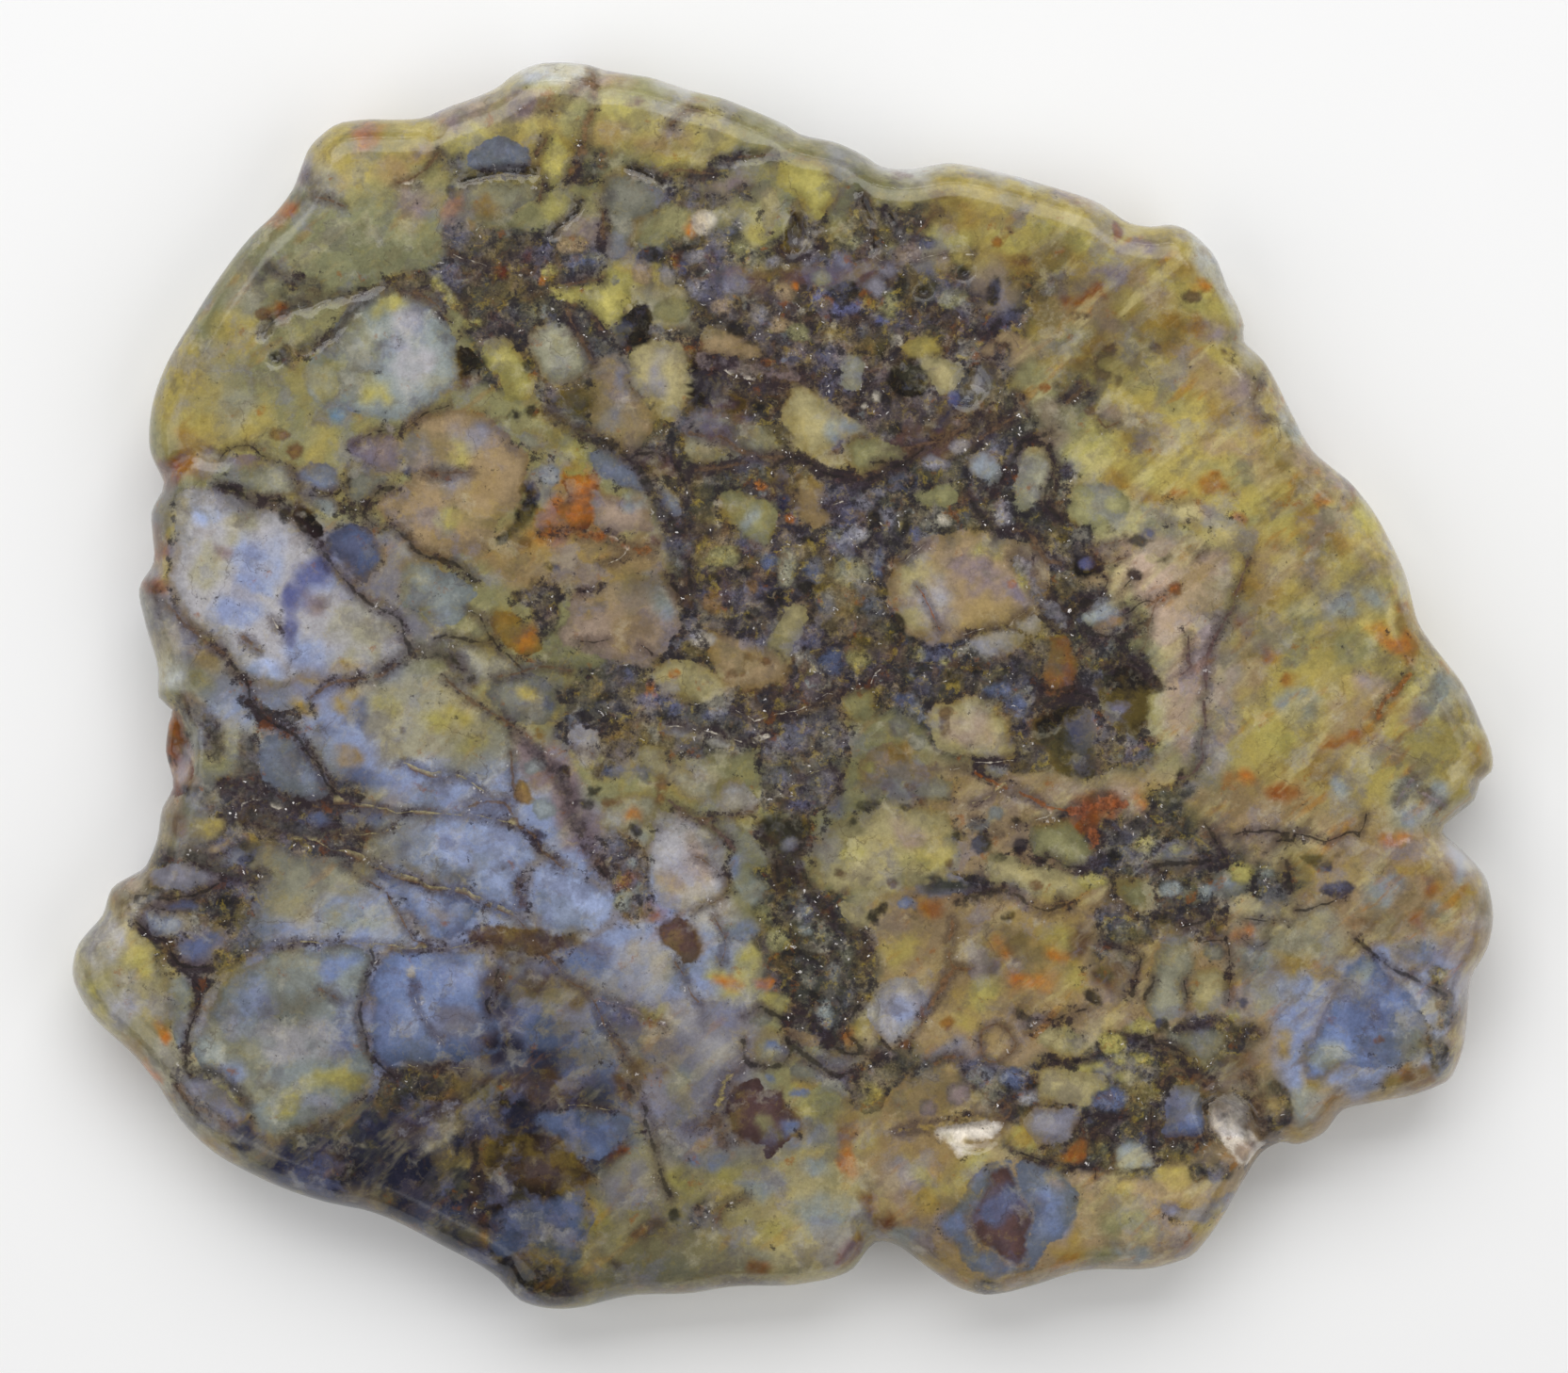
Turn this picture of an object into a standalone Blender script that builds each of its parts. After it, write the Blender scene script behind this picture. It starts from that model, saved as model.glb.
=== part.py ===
"""Polished slab of an agatised dinosaur coprolite, in metres, +Z up.

The slab is one natural stone. A saw cut it flat on both faces, and tumbling rounded its edge and softened
the natural bumps of its rim. It lies on its flat underside, with the origin under the middle of its outline.
Sizes below are in millimetres, and the mesh is scaled to metres as it is made.
"""

import math

import bpy
import numpy as np
from mathutils import Vector
from mathutils.geometry import delaunay_2d_cdt

METRES_PER_MM = 0.001

# Driving dimensions of the slab
THICKNESS = 6.0
WAIST_HEIGHT = 3.0  # height of the widest line of the rounded edge
WAIST_WANDER = 0.35  # how far that line rises and falls on its way round
TOP_ROUND = 2.4  # how far in from the outline the upper face starts to fall
BASE_ROUND = 2.0  # the same for the underside
EDGE_FULLNESS = 2.1  # exponent of the edge's curve: 2 is an ellipse, more is squarer
FACE_SWELL = 0.10  # the polished upper face is not quite flat

# How finely the solid is divided
OUTLINE_STEP = 1.1
FACE_STEP = 1.85
TOP_ROWS = (0.05, 0.2, 0.43, 0.7, 1.0)  # rows of points across the upper round, as shares of its width
BASE_ROWS = (0.06, 0.3, 0.64, 1.0)
LEAST_GAP = 0.55  # a new point keeps this share of its own step from every point before it

# The broken natural rim, clockwise from the bulge at the top, through every bump and notch
OUTLINE = [
    (-11.9, 33.0), (-10.2, 32.85), (-9.4, 32.6), (-7.0, 32.2), (-5.0, 31.55), (-3.0, 31.05), (-1.5, 30.45),
    (0.0, 29.8), (0.9, 29.25), (2.65, 28.85), (4.25, 28.15), (5.2, 27.55), (6.9, 27.4), (8.7, 27.7),
    (11.1, 27.3), (14.15, 26.45), (16.95, 25.45), (18.4, 24.5), (19.5, 24.3), (20.6, 24.4), (21.65, 24.0),
    (22.8, 22.9), (23.6, 21.1), (24.5, 19.05), (24.5, 18.2), (25.5, 17.2), (26.75, 14.9), (28.2, 12.3),
    (30.0, 10.8), (31.3, 9.2), (32.3, 7.4), (33.1, 5.6), (33.7, 3.3), (34.95, 1.5), (36.0, 0.15),
    (37.05, -2.0), (37.7, -3.9), (37.6, -4.65), (37.0, -5.2), (36.7, -6.15), (35.5, -7.15), (35.05, -7.8),
    (36.1, -8.8), (37.4, -10.4), (37.7, -11.95), (37.4, -14.0), (36.5, -15.65), (36.35, -17.25),
    (36.1, -19.3), (35.5, -20.8), (34.0, -21.6), (31.05, -22.25), (29.7, -22.6), (28.7, -23.8),
    (27.4, -24.4), (26.4, -24.3), (25.4, -24.9), (24.5, -26.25), (22.9, -28.95), (21.6, -30.4),
    (20.05, -30.9), (15.7, -31.15), (13.0, -31.95), (10.7, -32.35), (9.05, -31.85), (7.1, -30.45),
    (5.3, -29.5), (4.6, -29.85), (3.75, -30.95), (1.45, -31.7), (-2.9, -31.95), (-4.7, -32.25),
    (-8.05, -32.4), (-11.7, -33.1), (-13.9, -32.65), (-15.1, -31.45), (-18.0, -29.75), (-22.0, -27.9),
    (-24.0, -27.5), (-27.9, -26.1), (-30.6, -24.5), (-32.05, -23.0), (-33.2, -21.2), (-34.15, -20.0),
    (-37.1, -16.9), (-37.7, -15.35), (-37.35, -13.7), (-36.1, -12.2), (-35.6, -10.8), (-33.8, -9.6),
    (-33.2, -8.2), (-32.9, -6.5), (-32.35, -5.45), (-32.75, -3.55), (-32.6, -2.1), (-32.4, -1.35),
    (-33.1, -0.7), (-33.15, 0.8), (-33.9, 3.5), (-34.15, 5.1), (-33.4, 6.5), (-33.5, 9.1), (-32.85, 10.7),
    (-33.5, 12.2), (-33.5, 14.4), (-32.6, 17.1), (-31.45, 19.05), (-30.0, 21.35), (-27.95, 24.0),
    (-27.0, 24.9), (-26.0, 26.2), (-25.0, 28.6), (-23.8, 29.65), (-21.9, 30.0), (-19.2, 30.05),
    (-17.6, 30.7), (-15.2, 31.65), (-14.2, 32.4), (-13.1, 32.9),
]

# Grooves of the upper face: half width, depth, then the line that each follows.
# The first are open cracks, the next are furrows between the bumps of the rim.
GROOVES = [
    (0.30, 0.75, [(-16.6, 26.5), (-15.4, 26.9), (-14.3, 26.95), (-13.1, 26.8)]),
    (0.26, 0.60, [(-12.0, 23.6), (-11.4, 24.3), (-10.8, 25.1)]),
    (0.26, 0.55, [(-8.0, 27.1), (-7.1, 26.75), (-6.3, 26.2)]),
    (0.40, 0.35, [(-3.2, 27.4), (-1.9, 27.7), (-0.4, 27.7)]),
    (0.28, 0.65, [(0.0, 22.9), (0.5, 25.1), (1.75, 23.0)]),
    (0.26, 0.60, [(4.1, 25.9), (4.5, 24.7), (4.9, 22.7)]),
    (0.24, 0.50, [(5.1, 25.2), (5.8, 24.1), (5.8, 23.3)]),
    (0.45, 0.40, [(-27.4, 18.3), (-26.4, 19.4), (-24.0, 20.1), (-21.0, 21.0)]),
    (0.35, 0.30, [(-24.9, 17.6), (-23.3, 18.6), (-22.3, 19.7)]),
    (0.80, 0.60, [(-33.2, 10.6), (-31.0, 12.0), (-29.3, 11.8), (-28.0, 12.6), (-27.0, 12.0)]),
    (0.80, 0.50, [(-27.4, 25.1), (-25.6, 24.3)]),
    (0.90, 0.55, [(-18.9, 30.5), (-18.4, 29.0), (-19.3, 27.0)]),
    (0.90, 0.50, [(-9.5, 33.0), (-9.6, 31.2), (-10.4, 29.6)]),
    (0.90, 0.45, [(4.9, 28.1), (5.5, 26.6)]),
    (0.90, 0.50, [(18.6, 24.8), (18.2, 23.2)]),
    (0.80, 0.45, [(24.9, 18.4), (22.9, 17.7)]),
    (1.00, 0.70, [(35.5, -7.8), (33.0, -7.7), (30.6, -7.1)]),
    (1.00, 0.75, [(4.9, -30.0), (4.3, -27.6), (4.0, -25.4)]),
    (0.90, 0.55, [(-15.4, -32.0), (-13.6, -29.8)]),
    (0.90, 0.50, [(-36.6, -11.6), (-34.0, -12.6)]),
    (0.80, 0.50, [(-33.8, 6.4), (-31.6, 6.0)]),
    (0.80, 0.50, [(29.9, -23.4), (28.9, -21.4)]),
]

# Hollows of the upper face: centre, half length, half width, turn in degrees, depth
HOLLOWS = [
    ((23.5, -23.1), 2.5, 1.6, -48.0, 1.9),  # the big vug that opens at the rim
    ((25.2, -24.9), 1.4, 1.1, -48.0, 1.0),  # its mouth
    ((-31.9, -3.5), 2.3, 1.5, 90.0, 1.3),  # the rough unpolished bite on the left
    ((9.9, -23.7), 1.9, 0.95, -8.0, 0.45),  # a flaked chip
    ((9.8, 15.6), 1.5, 1.2, 60.0, 0.55),  # crystal-lined vug near the middle
    ((9.6, 21.6), 0.65, 0.45, 30.0, 0.5),
    ((7.4, 20.6), 0.6, 0.45, 0.0, 0.5),
    ((-26.6, 17.1), 0.6, 0.5, 0.0, 0.4),
]


def smooth_loop(points, step):
    """A closed smooth curve through the points, divided into lengths of about one step."""
    at = np.array(points)
    after, before = np.roll(at, -1, axis=0), np.roll(at, 1, axis=0)
    run = np.linalg.norm(after - at, axis=1)[:, None]
    run_before = np.roll(run, 1, axis=0)
    # The heading at a point is that of the parabola through it and its two neighbours.
    heading = ((at - before) / run_before * run + (after - at) / run * run_before) / (run + run_before)
    loop = []
    for i in range(len(at)):
        j = (i + 1) % len(at)
        pieces = max(1, round(float(run[i, 0]) / step))
        for t in np.arange(pieces) / pieces:
            loop.append(
                (2 * t**3 - 3 * t**2 + 1) * at[i]
                + (3 * t**2 - 2 * t**3) * at[j]
                + (t**3 - 2 * t**2 + t) * run[i] * heading[i]
                + (t**3 - t**2) * run[i] * heading[j]
            )
    return np.array(loop)


def distance_to_path(points, path, closed=False):
    """How far each point is from a line of straight runs."""
    starts = np.array(path)
    ends = np.roll(starts, -1, axis=0)
    if not closed:
        starts, ends = starts[:-1], ends[:-1]
    along = ends - starts
    offset = points[:, None, :] - starts[None]
    share = np.clip((offset * along).sum(axis=2) / (along**2).sum(axis=1), 0.0, 1.0)
    return np.linalg.norm(offset - share[..., None] * along, axis=2).min(axis=1)


def is_inside(points, loop):
    """Whether each point lies inside the loop, by counting how often a line to the right crosses it."""
    x, y = points[:, 0, None], points[:, 1, None]
    x0, y0 = loop[:, 0], loop[:, 1]
    x1, y1 = np.roll(x0, -1), np.roll(y0, -1)
    level = y1 - y0
    level = np.where(np.abs(level) < 1e-9, 1e-9, level)
    crosses = ((y0 > y) != (y1 > y)) & (x < x0 + (y - y0) * (x1 - x0) / level)
    return crosses.sum(axis=1) % 2 == 1


def soft_step(share):
    """1 at the middle of a feature, falling smoothly to 0 at its border."""
    share = np.clip(share, 0.0, 1.0)
    return 1.0 - share * share * (3.0 - 2.0 * share)


def hollow_share(points, hollow):
    """0 at the middle of an oval hollow and 1 on its border."""
    (x, y), half_length, half_width, turn, _ = hollow
    angle = math.radians(turn)
    dx, dy = points[:, 0] - x, points[:, 1] - y
    lengthwise = dx * math.cos(angle) + dy * math.sin(angle)
    crosswise = dy * math.cos(angle) - dx * math.sin(angle)
    return np.hypot(lengthwise / half_length, crosswise / half_width)


def relief(points):
    """How deep the upper face lies below the slab's full thickness."""
    x, y = points[:, 0], points[:, 1]
    drop = FACE_SWELL * (0.5 + 0.5 * np.sin(x / 9.0 + 1.3) * np.cos(y / 11.0 - 0.4))
    for half_width, depth, path in GROOVES:
        drop = np.maximum(drop, depth * soft_step(distance_to_path(points, path) / half_width))
    for hollow in HOLLOWS:
        drop = np.maximum(drop, hollow[-1] * soft_step(hollow_share(points, hollow) ** 1.5))
    return drop


def waist_height(points):
    """The height of the widest line of the edge."""
    turn = np.arctan2(points[:, 1], points[:, 0])
    return WAIST_HEIGHT + WAIST_WANDER * (0.6 * np.sin(3 * turn + 0.5) + 0.4 * np.sin(8 * turn))


def edge_curve(share):
    """The edge's rise from its waist: 0 on the outline, 1 where a face begins."""
    share = np.clip(share * 1.03, 0.0, 1.0)
    return (1.0 - (1.0 - share) ** EDGE_FULLNESS) ** (1.0 / EDGE_FULLNESS)


def inset_rows(loop, shares, width):
    """Rows of points inside the outline, without those that come nearer to another stretch of it."""
    ahead = np.roll(loop, -1, axis=0) - np.roll(loop, 1, axis=0)
    inward = np.stack([ahead[:, 1], -ahead[:, 0]], axis=1)
    inward /= np.linalg.norm(inward, axis=1)[:, None]
    rows = []
    for share in shares:
        row = loop + inward * share * width
        far = distance_to_path(row, loop, closed=True)
        rows.append(row[(far > 0.93 * share * width) & is_inside(row, loop)])
    return rows


def feature_points():
    """Points along each groove and round each hollow, so that the mesh has edges where they turn."""
    groups = []
    for half_width, _, path in GROOVES:
        path = np.array(path)
        line = []
        for start, end in zip(path[:-1], path[1:]):
            run = float(np.linalg.norm(end - start))
            side = np.array([start[1] - end[1], end[0] - start[0]]) / run
            for share in np.linspace(0.0, 1.0, max(2, round(run / 0.9) + 1)):
                for reach in (0.0, -1.0, 1.0):
                    line.append(start + share * (end - start) + reach * half_width * side)
        groups.append((0.6 * half_width, np.array(line)))
    for (x, y), half_length, half_width, turn, _ in HOLLOWS:
        angle = math.radians(turn)
        rings = [(x, y)]
        for reach, count in ((0.55, 7), (0.8, 10), (1.02, 12)):
            for i in range(count):
                around = 2 * math.pi * i / count
                a, b = reach * half_length * math.cos(around), reach * half_width * math.sin(around)
                rings.append(
                    (x + a * math.cos(angle) - b * math.sin(angle), y + a * math.sin(angle) + b * math.cos(angle))
                )
        groups.append((0.18 * half_width, np.array(rings)))
    return groups


def face_grid(loop, margin):
    """A triangular grid over the face, kept clear of the rounded edge."""
    low, high = loop.min(axis=0), loop.max(axis=0)
    points = []
    for row, y in enumerate(np.arange(low[1], high[1], FACE_STEP * math.sqrt(3) / 2)):
        for x in np.arange(low[0] + (row % 2) * FACE_STEP / 2, high[0], FACE_STEP):
            points.append((x, y))
    points = np.array(points)
    points = points[is_inside(points, loop)]
    return points[distance_to_path(points, loop, closed=True) > margin]


def thinned(kept, new, gap):
    """The new points that keep a gap to those already there and to each other."""
    chosen = []
    for point in new:
        others = np.array(chosen) if chosen else np.empty((0, 2))
        near = np.concatenate([kept, others])
        if np.min(np.linalg.norm(near - point, axis=1)) > gap:
            chosen.append(point)
    return np.concatenate([kept, np.array(chosen)]) if chosen else kept


def triangles_inside(points, ring_count):
    """The triangles that fill the outline, which is the first ring_count points."""
    ring = list(range(ring_count))
    edges = [(i, (i + 1) % ring_count) for i in ring]
    coords = [Vector((float(x), float(y))) for x, y in points]
    found, _, faces, origins, _, _ = delaunay_2d_cdt(coords, edges, [], 1, 1e-6)
    if len(found) != len(points):
        raise ValueError("two points of the slab fall in one place")
    return [tuple(origins[corner][0] for corner in face) for face in faces]


def slab_mesh():
    loop = smooth_loop(OUTLINE, OUTLINE_STEP)
    middle = (loop.min(axis=0) + loop.max(axis=0)) / 2
    count = len(loop)

    upper = loop
    for row, share in zip(inset_rows(loop, TOP_ROWS, TOP_ROUND), TOP_ROWS):
        upper = thinned(upper, row, min(LEAST_GAP * OUTLINE_STEP, 0.8 * share * TOP_ROUND))
    for gap, group in feature_points():
        inside = group[is_inside(group, loop)]
        inside = inside[distance_to_path(inside, loop, closed=True) > 0.5]
        upper = thinned(upper, inside, gap)
    upper = thinned(upper, face_grid(loop, TOP_ROUND + 0.4 * FACE_STEP), LEAST_GAP * FACE_STEP)

    lower = loop
    for row, share in zip(inset_rows(loop, BASE_ROWS, BASE_ROUND), BASE_ROWS):
        lower = thinned(lower, row, min(LEAST_GAP * OUTLINE_STEP, 0.8 * share * BASE_ROUND))

    waist = waist_height(upper)
    rise = edge_curve(distance_to_path(upper, loop, closed=True) / TOP_ROUND)
    upper_height = waist + (THICKNESS - relief(upper) - waist) * rise
    waist = waist_height(lower)
    fall = edge_curve(distance_to_path(lower, loop, closed=True) / BASE_ROUND)
    lower_height = waist * (1.0 - fall)

    heights = np.concatenate([upper_height, lower_height[count:]])
    points = np.column_stack([np.concatenate([upper, lower[count:]]) - middle, heights])
    faces = triangles_inside(upper, count)
    for a, b, c in triangles_inside(lower, count):
        faces.append(tuple(i if i < count else i - count + len(upper) for i in (c, b, a)))
    mesh = bpy.data.meshes.new("coprolite_slab")
    mesh.from_pydata((points * METRES_PER_MM).tolist(), [], faces)
    mesh.shade_smooth()
    mesh.validate()
    return mesh


def agate():
    """Chalcedony that replaced the dung, polished: mustard and lilac-blue, here as one middle colour."""
    material = bpy.data.materials.new("polished_agate")
    material.use_nodes = True
    shader = material.node_tree.nodes["Principled BSDF"]
    shader.inputs["Base Color"].default_value = (0.19, 0.17, 0.12, 1.0)
    shader.inputs["Roughness"].default_value = 0.22
    shader.inputs["Metallic"].default_value = 0.0
    shader.inputs["IOR"].default_value = 1.54
    return material


for old in list(bpy.data.objects):
    bpy.data.objects.remove(old)

slab = bpy.data.objects.new("coprolite_slab", slab_mesh())
slab.data.materials.append(agate())
bpy.context.scene.collection.objects.link(slab)
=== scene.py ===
import math

import bpy
import numpy as np
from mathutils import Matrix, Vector, noise
from mathutils.geometry import delaunay_2d_cdt


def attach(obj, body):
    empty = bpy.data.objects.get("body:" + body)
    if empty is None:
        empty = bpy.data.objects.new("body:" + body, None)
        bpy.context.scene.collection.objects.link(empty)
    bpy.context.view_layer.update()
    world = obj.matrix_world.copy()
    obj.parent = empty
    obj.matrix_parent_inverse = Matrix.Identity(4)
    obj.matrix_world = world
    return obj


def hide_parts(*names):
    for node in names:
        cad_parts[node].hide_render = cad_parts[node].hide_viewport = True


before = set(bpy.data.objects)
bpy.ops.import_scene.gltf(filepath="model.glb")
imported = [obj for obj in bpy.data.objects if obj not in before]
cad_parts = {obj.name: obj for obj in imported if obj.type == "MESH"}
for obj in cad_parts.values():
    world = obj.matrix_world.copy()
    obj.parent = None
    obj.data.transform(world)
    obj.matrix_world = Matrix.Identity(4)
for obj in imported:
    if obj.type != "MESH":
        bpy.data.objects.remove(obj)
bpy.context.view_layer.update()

# Outline of the polished slab: dung that turned to agate, cut as a 6 mm slice on a saw and tumbled
# with grit until its rim is round. The rim line is taken from the solid, where faces that look up
# meet faces that look down, so the dressed stone has the solid's outline. All is in mm.
MM = 0.001
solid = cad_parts["coprolite_slab"].data
corner_of = {}
places = []
for vertex in solid.vertices:
    key = tuple(round(c / MM, 3) for c in vertex.co)
    if key not in corner_of:
        corner_of[key] = len(places)
        places.append(key)
meets = {}
for face in solid.polygons:
    corners = [corner_of[tuple(round(c / MM, 3) for c in solid.vertices[i].co)] for i in face.vertices]
    for here, there in zip(corners, corners[1:] + corners[:1]):
        meets.setdefault((min(here, there), max(here, there)), []).append(face.normal.z > 0)
beside = {}
for (here, there), looks_up in meets.items():
    if sorted(looks_up) == [False, True]:
        beside.setdefault(here, []).append(there)
        beside.setdefault(there, []).append(here)
ring = [min(beside, key=lambda i: places[i][0])]
while True:
    onward = [i for i in beside[ring[-1]] if i not in ring[-2:]]
    if not onward or onward[0] == ring[0]:
        break
    ring.append(onward[0])
solid_low = np.array(places).min(axis=0)
solid_high = np.array(places).max(axis=0)


def curve_through(points, step, closed):
    """A smooth line through the points, which are rows of x, y or x, y, z, at about even steps."""
    points = np.array(points, dtype=float)
    if closed:
        rows = np.concatenate([points[-1:], points, points[:2]])
    else:
        rows = np.concatenate([2 * points[:1] - points[1:2], points, 2 * points[-1:] - points[-2:-1]])
    line = []
    for before, start, end, after in zip(rows[:-3], rows[1:-2], rows[2:-1], rows[3:]):
        count = max(1, round(float(np.linalg.norm((end - start)[:2])) / step))
        for t in np.arange(count) / count:
            line.append(
                0.5 * (2 * start + (end - before) * t + (2 * before - 5 * start + 4 * end - after) * t * t
                       + (3 * start - before - 3 * end + after) * t**3)
            )
    if not closed:
        line.append(rows[-2])
    return np.array(line)


RIM_STEP = 0.4
PLAY = 0.01
rim = curve_through([places[i] for i in ring], RIM_STEP, True)
rim_area = sum(a[0] * b[1] - b[0] * a[1] for a, b in zip(rim, np.roll(rim, -1, axis=0)))
if rim_area < 0:
    rim = rim[::-1]
for axis in (0, 1):
    middle = (solid_low[axis] + solid_high[axis]) / 2
    reach = np.abs(rim[:, axis] - middle).max()
    allowed = (solid_high[axis] - solid_low[axis]) / 2 - PLAY
    rim[:, axis] = middle + (rim[:, axis] - middle) * min(1.0, allowed / reach)

# Markings of the stone. Clouds and areas are soft changes of tint in the clear chalcedony. Clasts
# are bits of undigested food and bone with a sharp border, crumbs are small ones, and veins are
# cracks that later minerals have healed. Each is drawn where it is read off the polished face.
def linear(code):
    """A colour as a screen shows it, such as 8d9392, as the three linear values that Blender mixes."""
    parts = [int(code[i : i + 2], 16) / 255 for i in (0, 2, 4)]
    return [p / 12.92 if p <= 0.04045 else ((p + 0.055) / 1.055) ** 2.4 for p in parts]


minerals = {
    "mustard": "a5985e", "deep mustard": "8b7444", "ochre": "9c874e", "yellow": "a79f64",
    "orange yellow": "8d6f36", "olive": "8a8765", "olive grey": "7c7b70", "moss": "7d7d62",
    "dark moss": "4f4c47", "tan": "978569", "pink tan": "9a8a7c", "grey tan": "8a7d6c",
    "orange tan": "927f5e", "cream": "a39a76", "yellow white": "9d9986", "pale green": "918f7d",
    "lilac": "8d9392", "lilac grey": "85838c", "lilac white": "a3a1a4", "rim lilac and sheen": "b4b6b2",
    "blue": "7683a3", "pale blue": "8d97b2", "deep blue": "5f6388", "grey blue": "757b89",
    "slate": "58565e", "slate blue": "5c6580", "navy": "393a52", "blue black": "33334a",
    "matrix": "4a4145", "brown matrix": "4b3d37", "green matrix": "45463e",
    "dark brown": "4a3a30", "umber": "6a5440",
    "brown": "7a5c40", "purple brown": "5f4a48", "purple grey": "85787a", "rust": "8b5423",
    "bright rust": "a35e32", "red rust": "653320", "orange": "b0702c", "black": "26211f",
    "white": "c9c2b4", "bright white": "f0e8dc", "blue white": "9da8c4", "teal": "668a9b",
}
matrix_minerals = ("matrix", "brown matrix", "green matrix", "slate", "dark moss")
marks = []
sharp_kinds = ("clast", "crumb", "vein")
# The markings were read off with their zero this far above the slab's middle.
READ_LOW = 0.05
CRUMB_POINTS = 10


def path(text):
    """The points of a line that is written as pairs of mm, such as "-3,4 2,1.5"."""
    pairs = [pair.split(",") for pair in text.split()]
    return [(float(x), float(y) + READ_LOW) for x, y in pairs]


def ovals(text):
    """Ovals written as "x,y,half width,half height,turn", where height and turn may be left out."""
    for group in text.split():
        x, y, across, high, turn = ([float(part) for part in group.split(",")] + [None, None])[:5]
        yield x, y + READ_LOW, across, across if high is None else high, math.radians(turn or 0.0)


def oval_line(x, y, across, high, turn, count):
    """Points at even turns round an oval."""
    c, s = math.cos(turn), math.sin(turn)
    line = []
    for step in range(count):
        a, b = across * math.cos(step * math.tau / count), high * math.sin(step * math.tau / count)
        line.append((x + a * c - b * s, y + a * s + b * c))
    return line


def areas(mineral, fade, *lines):
    """Wide soft tints, each inside its line and fading over so many mm."""
    marks.extend(("soft", mineral, fade, path(line)) for line in lines)


def clouds(mineral, text):
    """Small soft oval tints."""
    marks.extend(("cloud", mineral, spot, None) for spot in ovals(text))


def clasts(mineral, *lines):
    """Bits with a sharp border, each given by its outline."""
    marks.extend(("clast", mineral, 0.0, path(line)) for line in lines)


def crumbs(mineral, text):
    """Small oval bits with a sharp border."""
    marks.extend(("crumb", mineral, 0.0, oval_line(*oval, CRUMB_POINTS)) for oval in ovals(text))


def veins(mineral, width, *lines):
    """Thin lines of one width. Black ones are kept thinner, because they look wider than they are."""
    half = width * (0.36 if mineral == "black" else 0.45)
    marks.extend(("vein", mineral, half, path(line)) for line in lines)


# Wide fields under everything: olive chalcedony above, mustard on the right, a dark fossil matrix in
# the middle, and lilac to blue chalcedony at the lower left.
areas("olive", 3, "-40,10 -34,34 -4,36 10,30 12,20 -6,8 -20,8")
areas("mustard", 3, "8,28 20,28 27,20 32,11 36,2 39,-5 34,-8 24,-6 22,1 24,7 19,10 15,9 13,15 9,20 6,24")
areas("tan", 3, "12,-4 24,-5 36,-8 39,-14 37,-22 28,-25 22,-31 8,-33 4,-28 4,-14 8,-4")
areas("pale blue", 3, "-30,2 -20,1 -14,-4 -8,-8 -2,-14 -2,-20 -8,-24 -16,-22 -22,-23 -30,-20 -33,-12"
      " -31,-4")
areas("yellow white", 2.5, "-40,-8 -31,-9 -33,-14 -31,-20 -27,-24 -34,-26 -42,-16")
areas("lilac grey", 2.5, "-34,10 -20,8 -18,2 -26,-1 -34,2")
areas("olive grey", 2.5, "-31,-2 -24,-3 -21,-6 -21,-10 -29,-13 -34,-9 -32,-4")
areas("navy", 2.5, "-30,-23 -22,-21 -14,-20 -9,-21 -8,-24 -12,-28 -10,-31 -14,-34 -24,-30")
areas("cream", 2.5, "-10,-27 -6,-24 -2,-25 4,-24 5,-28 4,-33 -6,-34 -11,-31")
areas("lilac grey", 2, "-8,-16 -2,-17 0,-24 -6,-25 -9,-20")
areas("green matrix", 1.6, "-20,22 -14,24 -8,23 -2,24 5,23 10,21 14,17 16,11 17,5 19,1 19,-4 14,-5 9,-4"
      " 5,-1 -2,-3 -8,-2 -11,0 -6,4 -6,8 -9,12 -12,15 -16,16 -17,19")
areas("brown matrix", 1.4, "6,20 12,21 14,15 9,12 3,12 -4,15 -8,20 -4,23 2,22")
areas("matrix", 1.4, "-3,10 4,11 6,7 6,1 3,-1 -2,-2 -5,2 -5,8", "9,0 13,3 19,0 18,-4 13,-5 10,-3")
areas("green matrix", 1.4, "14,-7 20,-6 24,-9 23,-13 19,-13 16,-10", "5,-18 9,-20 13,-20 18,-18 22,-20"
      " 24,-23 19,-26 12,-25 6,-22", "-1,-10 3,-11 5,-14 4,-19 1,-19 -2,-14", "-33,-9 -28,-10 -28,-15"
      " -31,-16 -34,-13")
areas("slate", 1.4, "-31,-5 -22,-5 -22,-9 -30,-9", "-12,0 -2,0 -1,-3 -6,-4 -12,-3")
clouds("green matrix", "-25,25.5,3,1.6 -19,27.6,2.4,1 -12,27.4,3,1.4 -5,27.6,3,1.2 2,26.2,2.4,1.6"
       " 8,24,3,1.5 13,21,2.5,2 -27,21.5,2,2 15.5,16,1.5,3")
clouds("moss", "-25,23,4.5,3 -29,19,3 -20,25,4,2 2,26,3,2")
clouds("mustard", "-21,28,4,2 -30,25,2 -14,29,3 -6,29,4,1.5 -32,16,1.5,3 -8,21,2,1.5 10,25,4,1.5")
clouds("pink tan", "-24,27,1.5 -17,30,1.5 -10,32,2,1 12,28,3,1 16,26,2,.8 28,12,1.5,4,30 -33,-7,1,2")
# The rim lilac clouds along the top rim are partly painted sheen, the pale shine where the rounded rim
# catches the lamps, over a milky rim.
clouds("rim lilac and sheen", "-12,32.5,3,.8 2,29.5,4,.7,-20 9,27.5,3,.5 13,27,3,.7,-10 23,22,.8,3,20")
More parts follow.
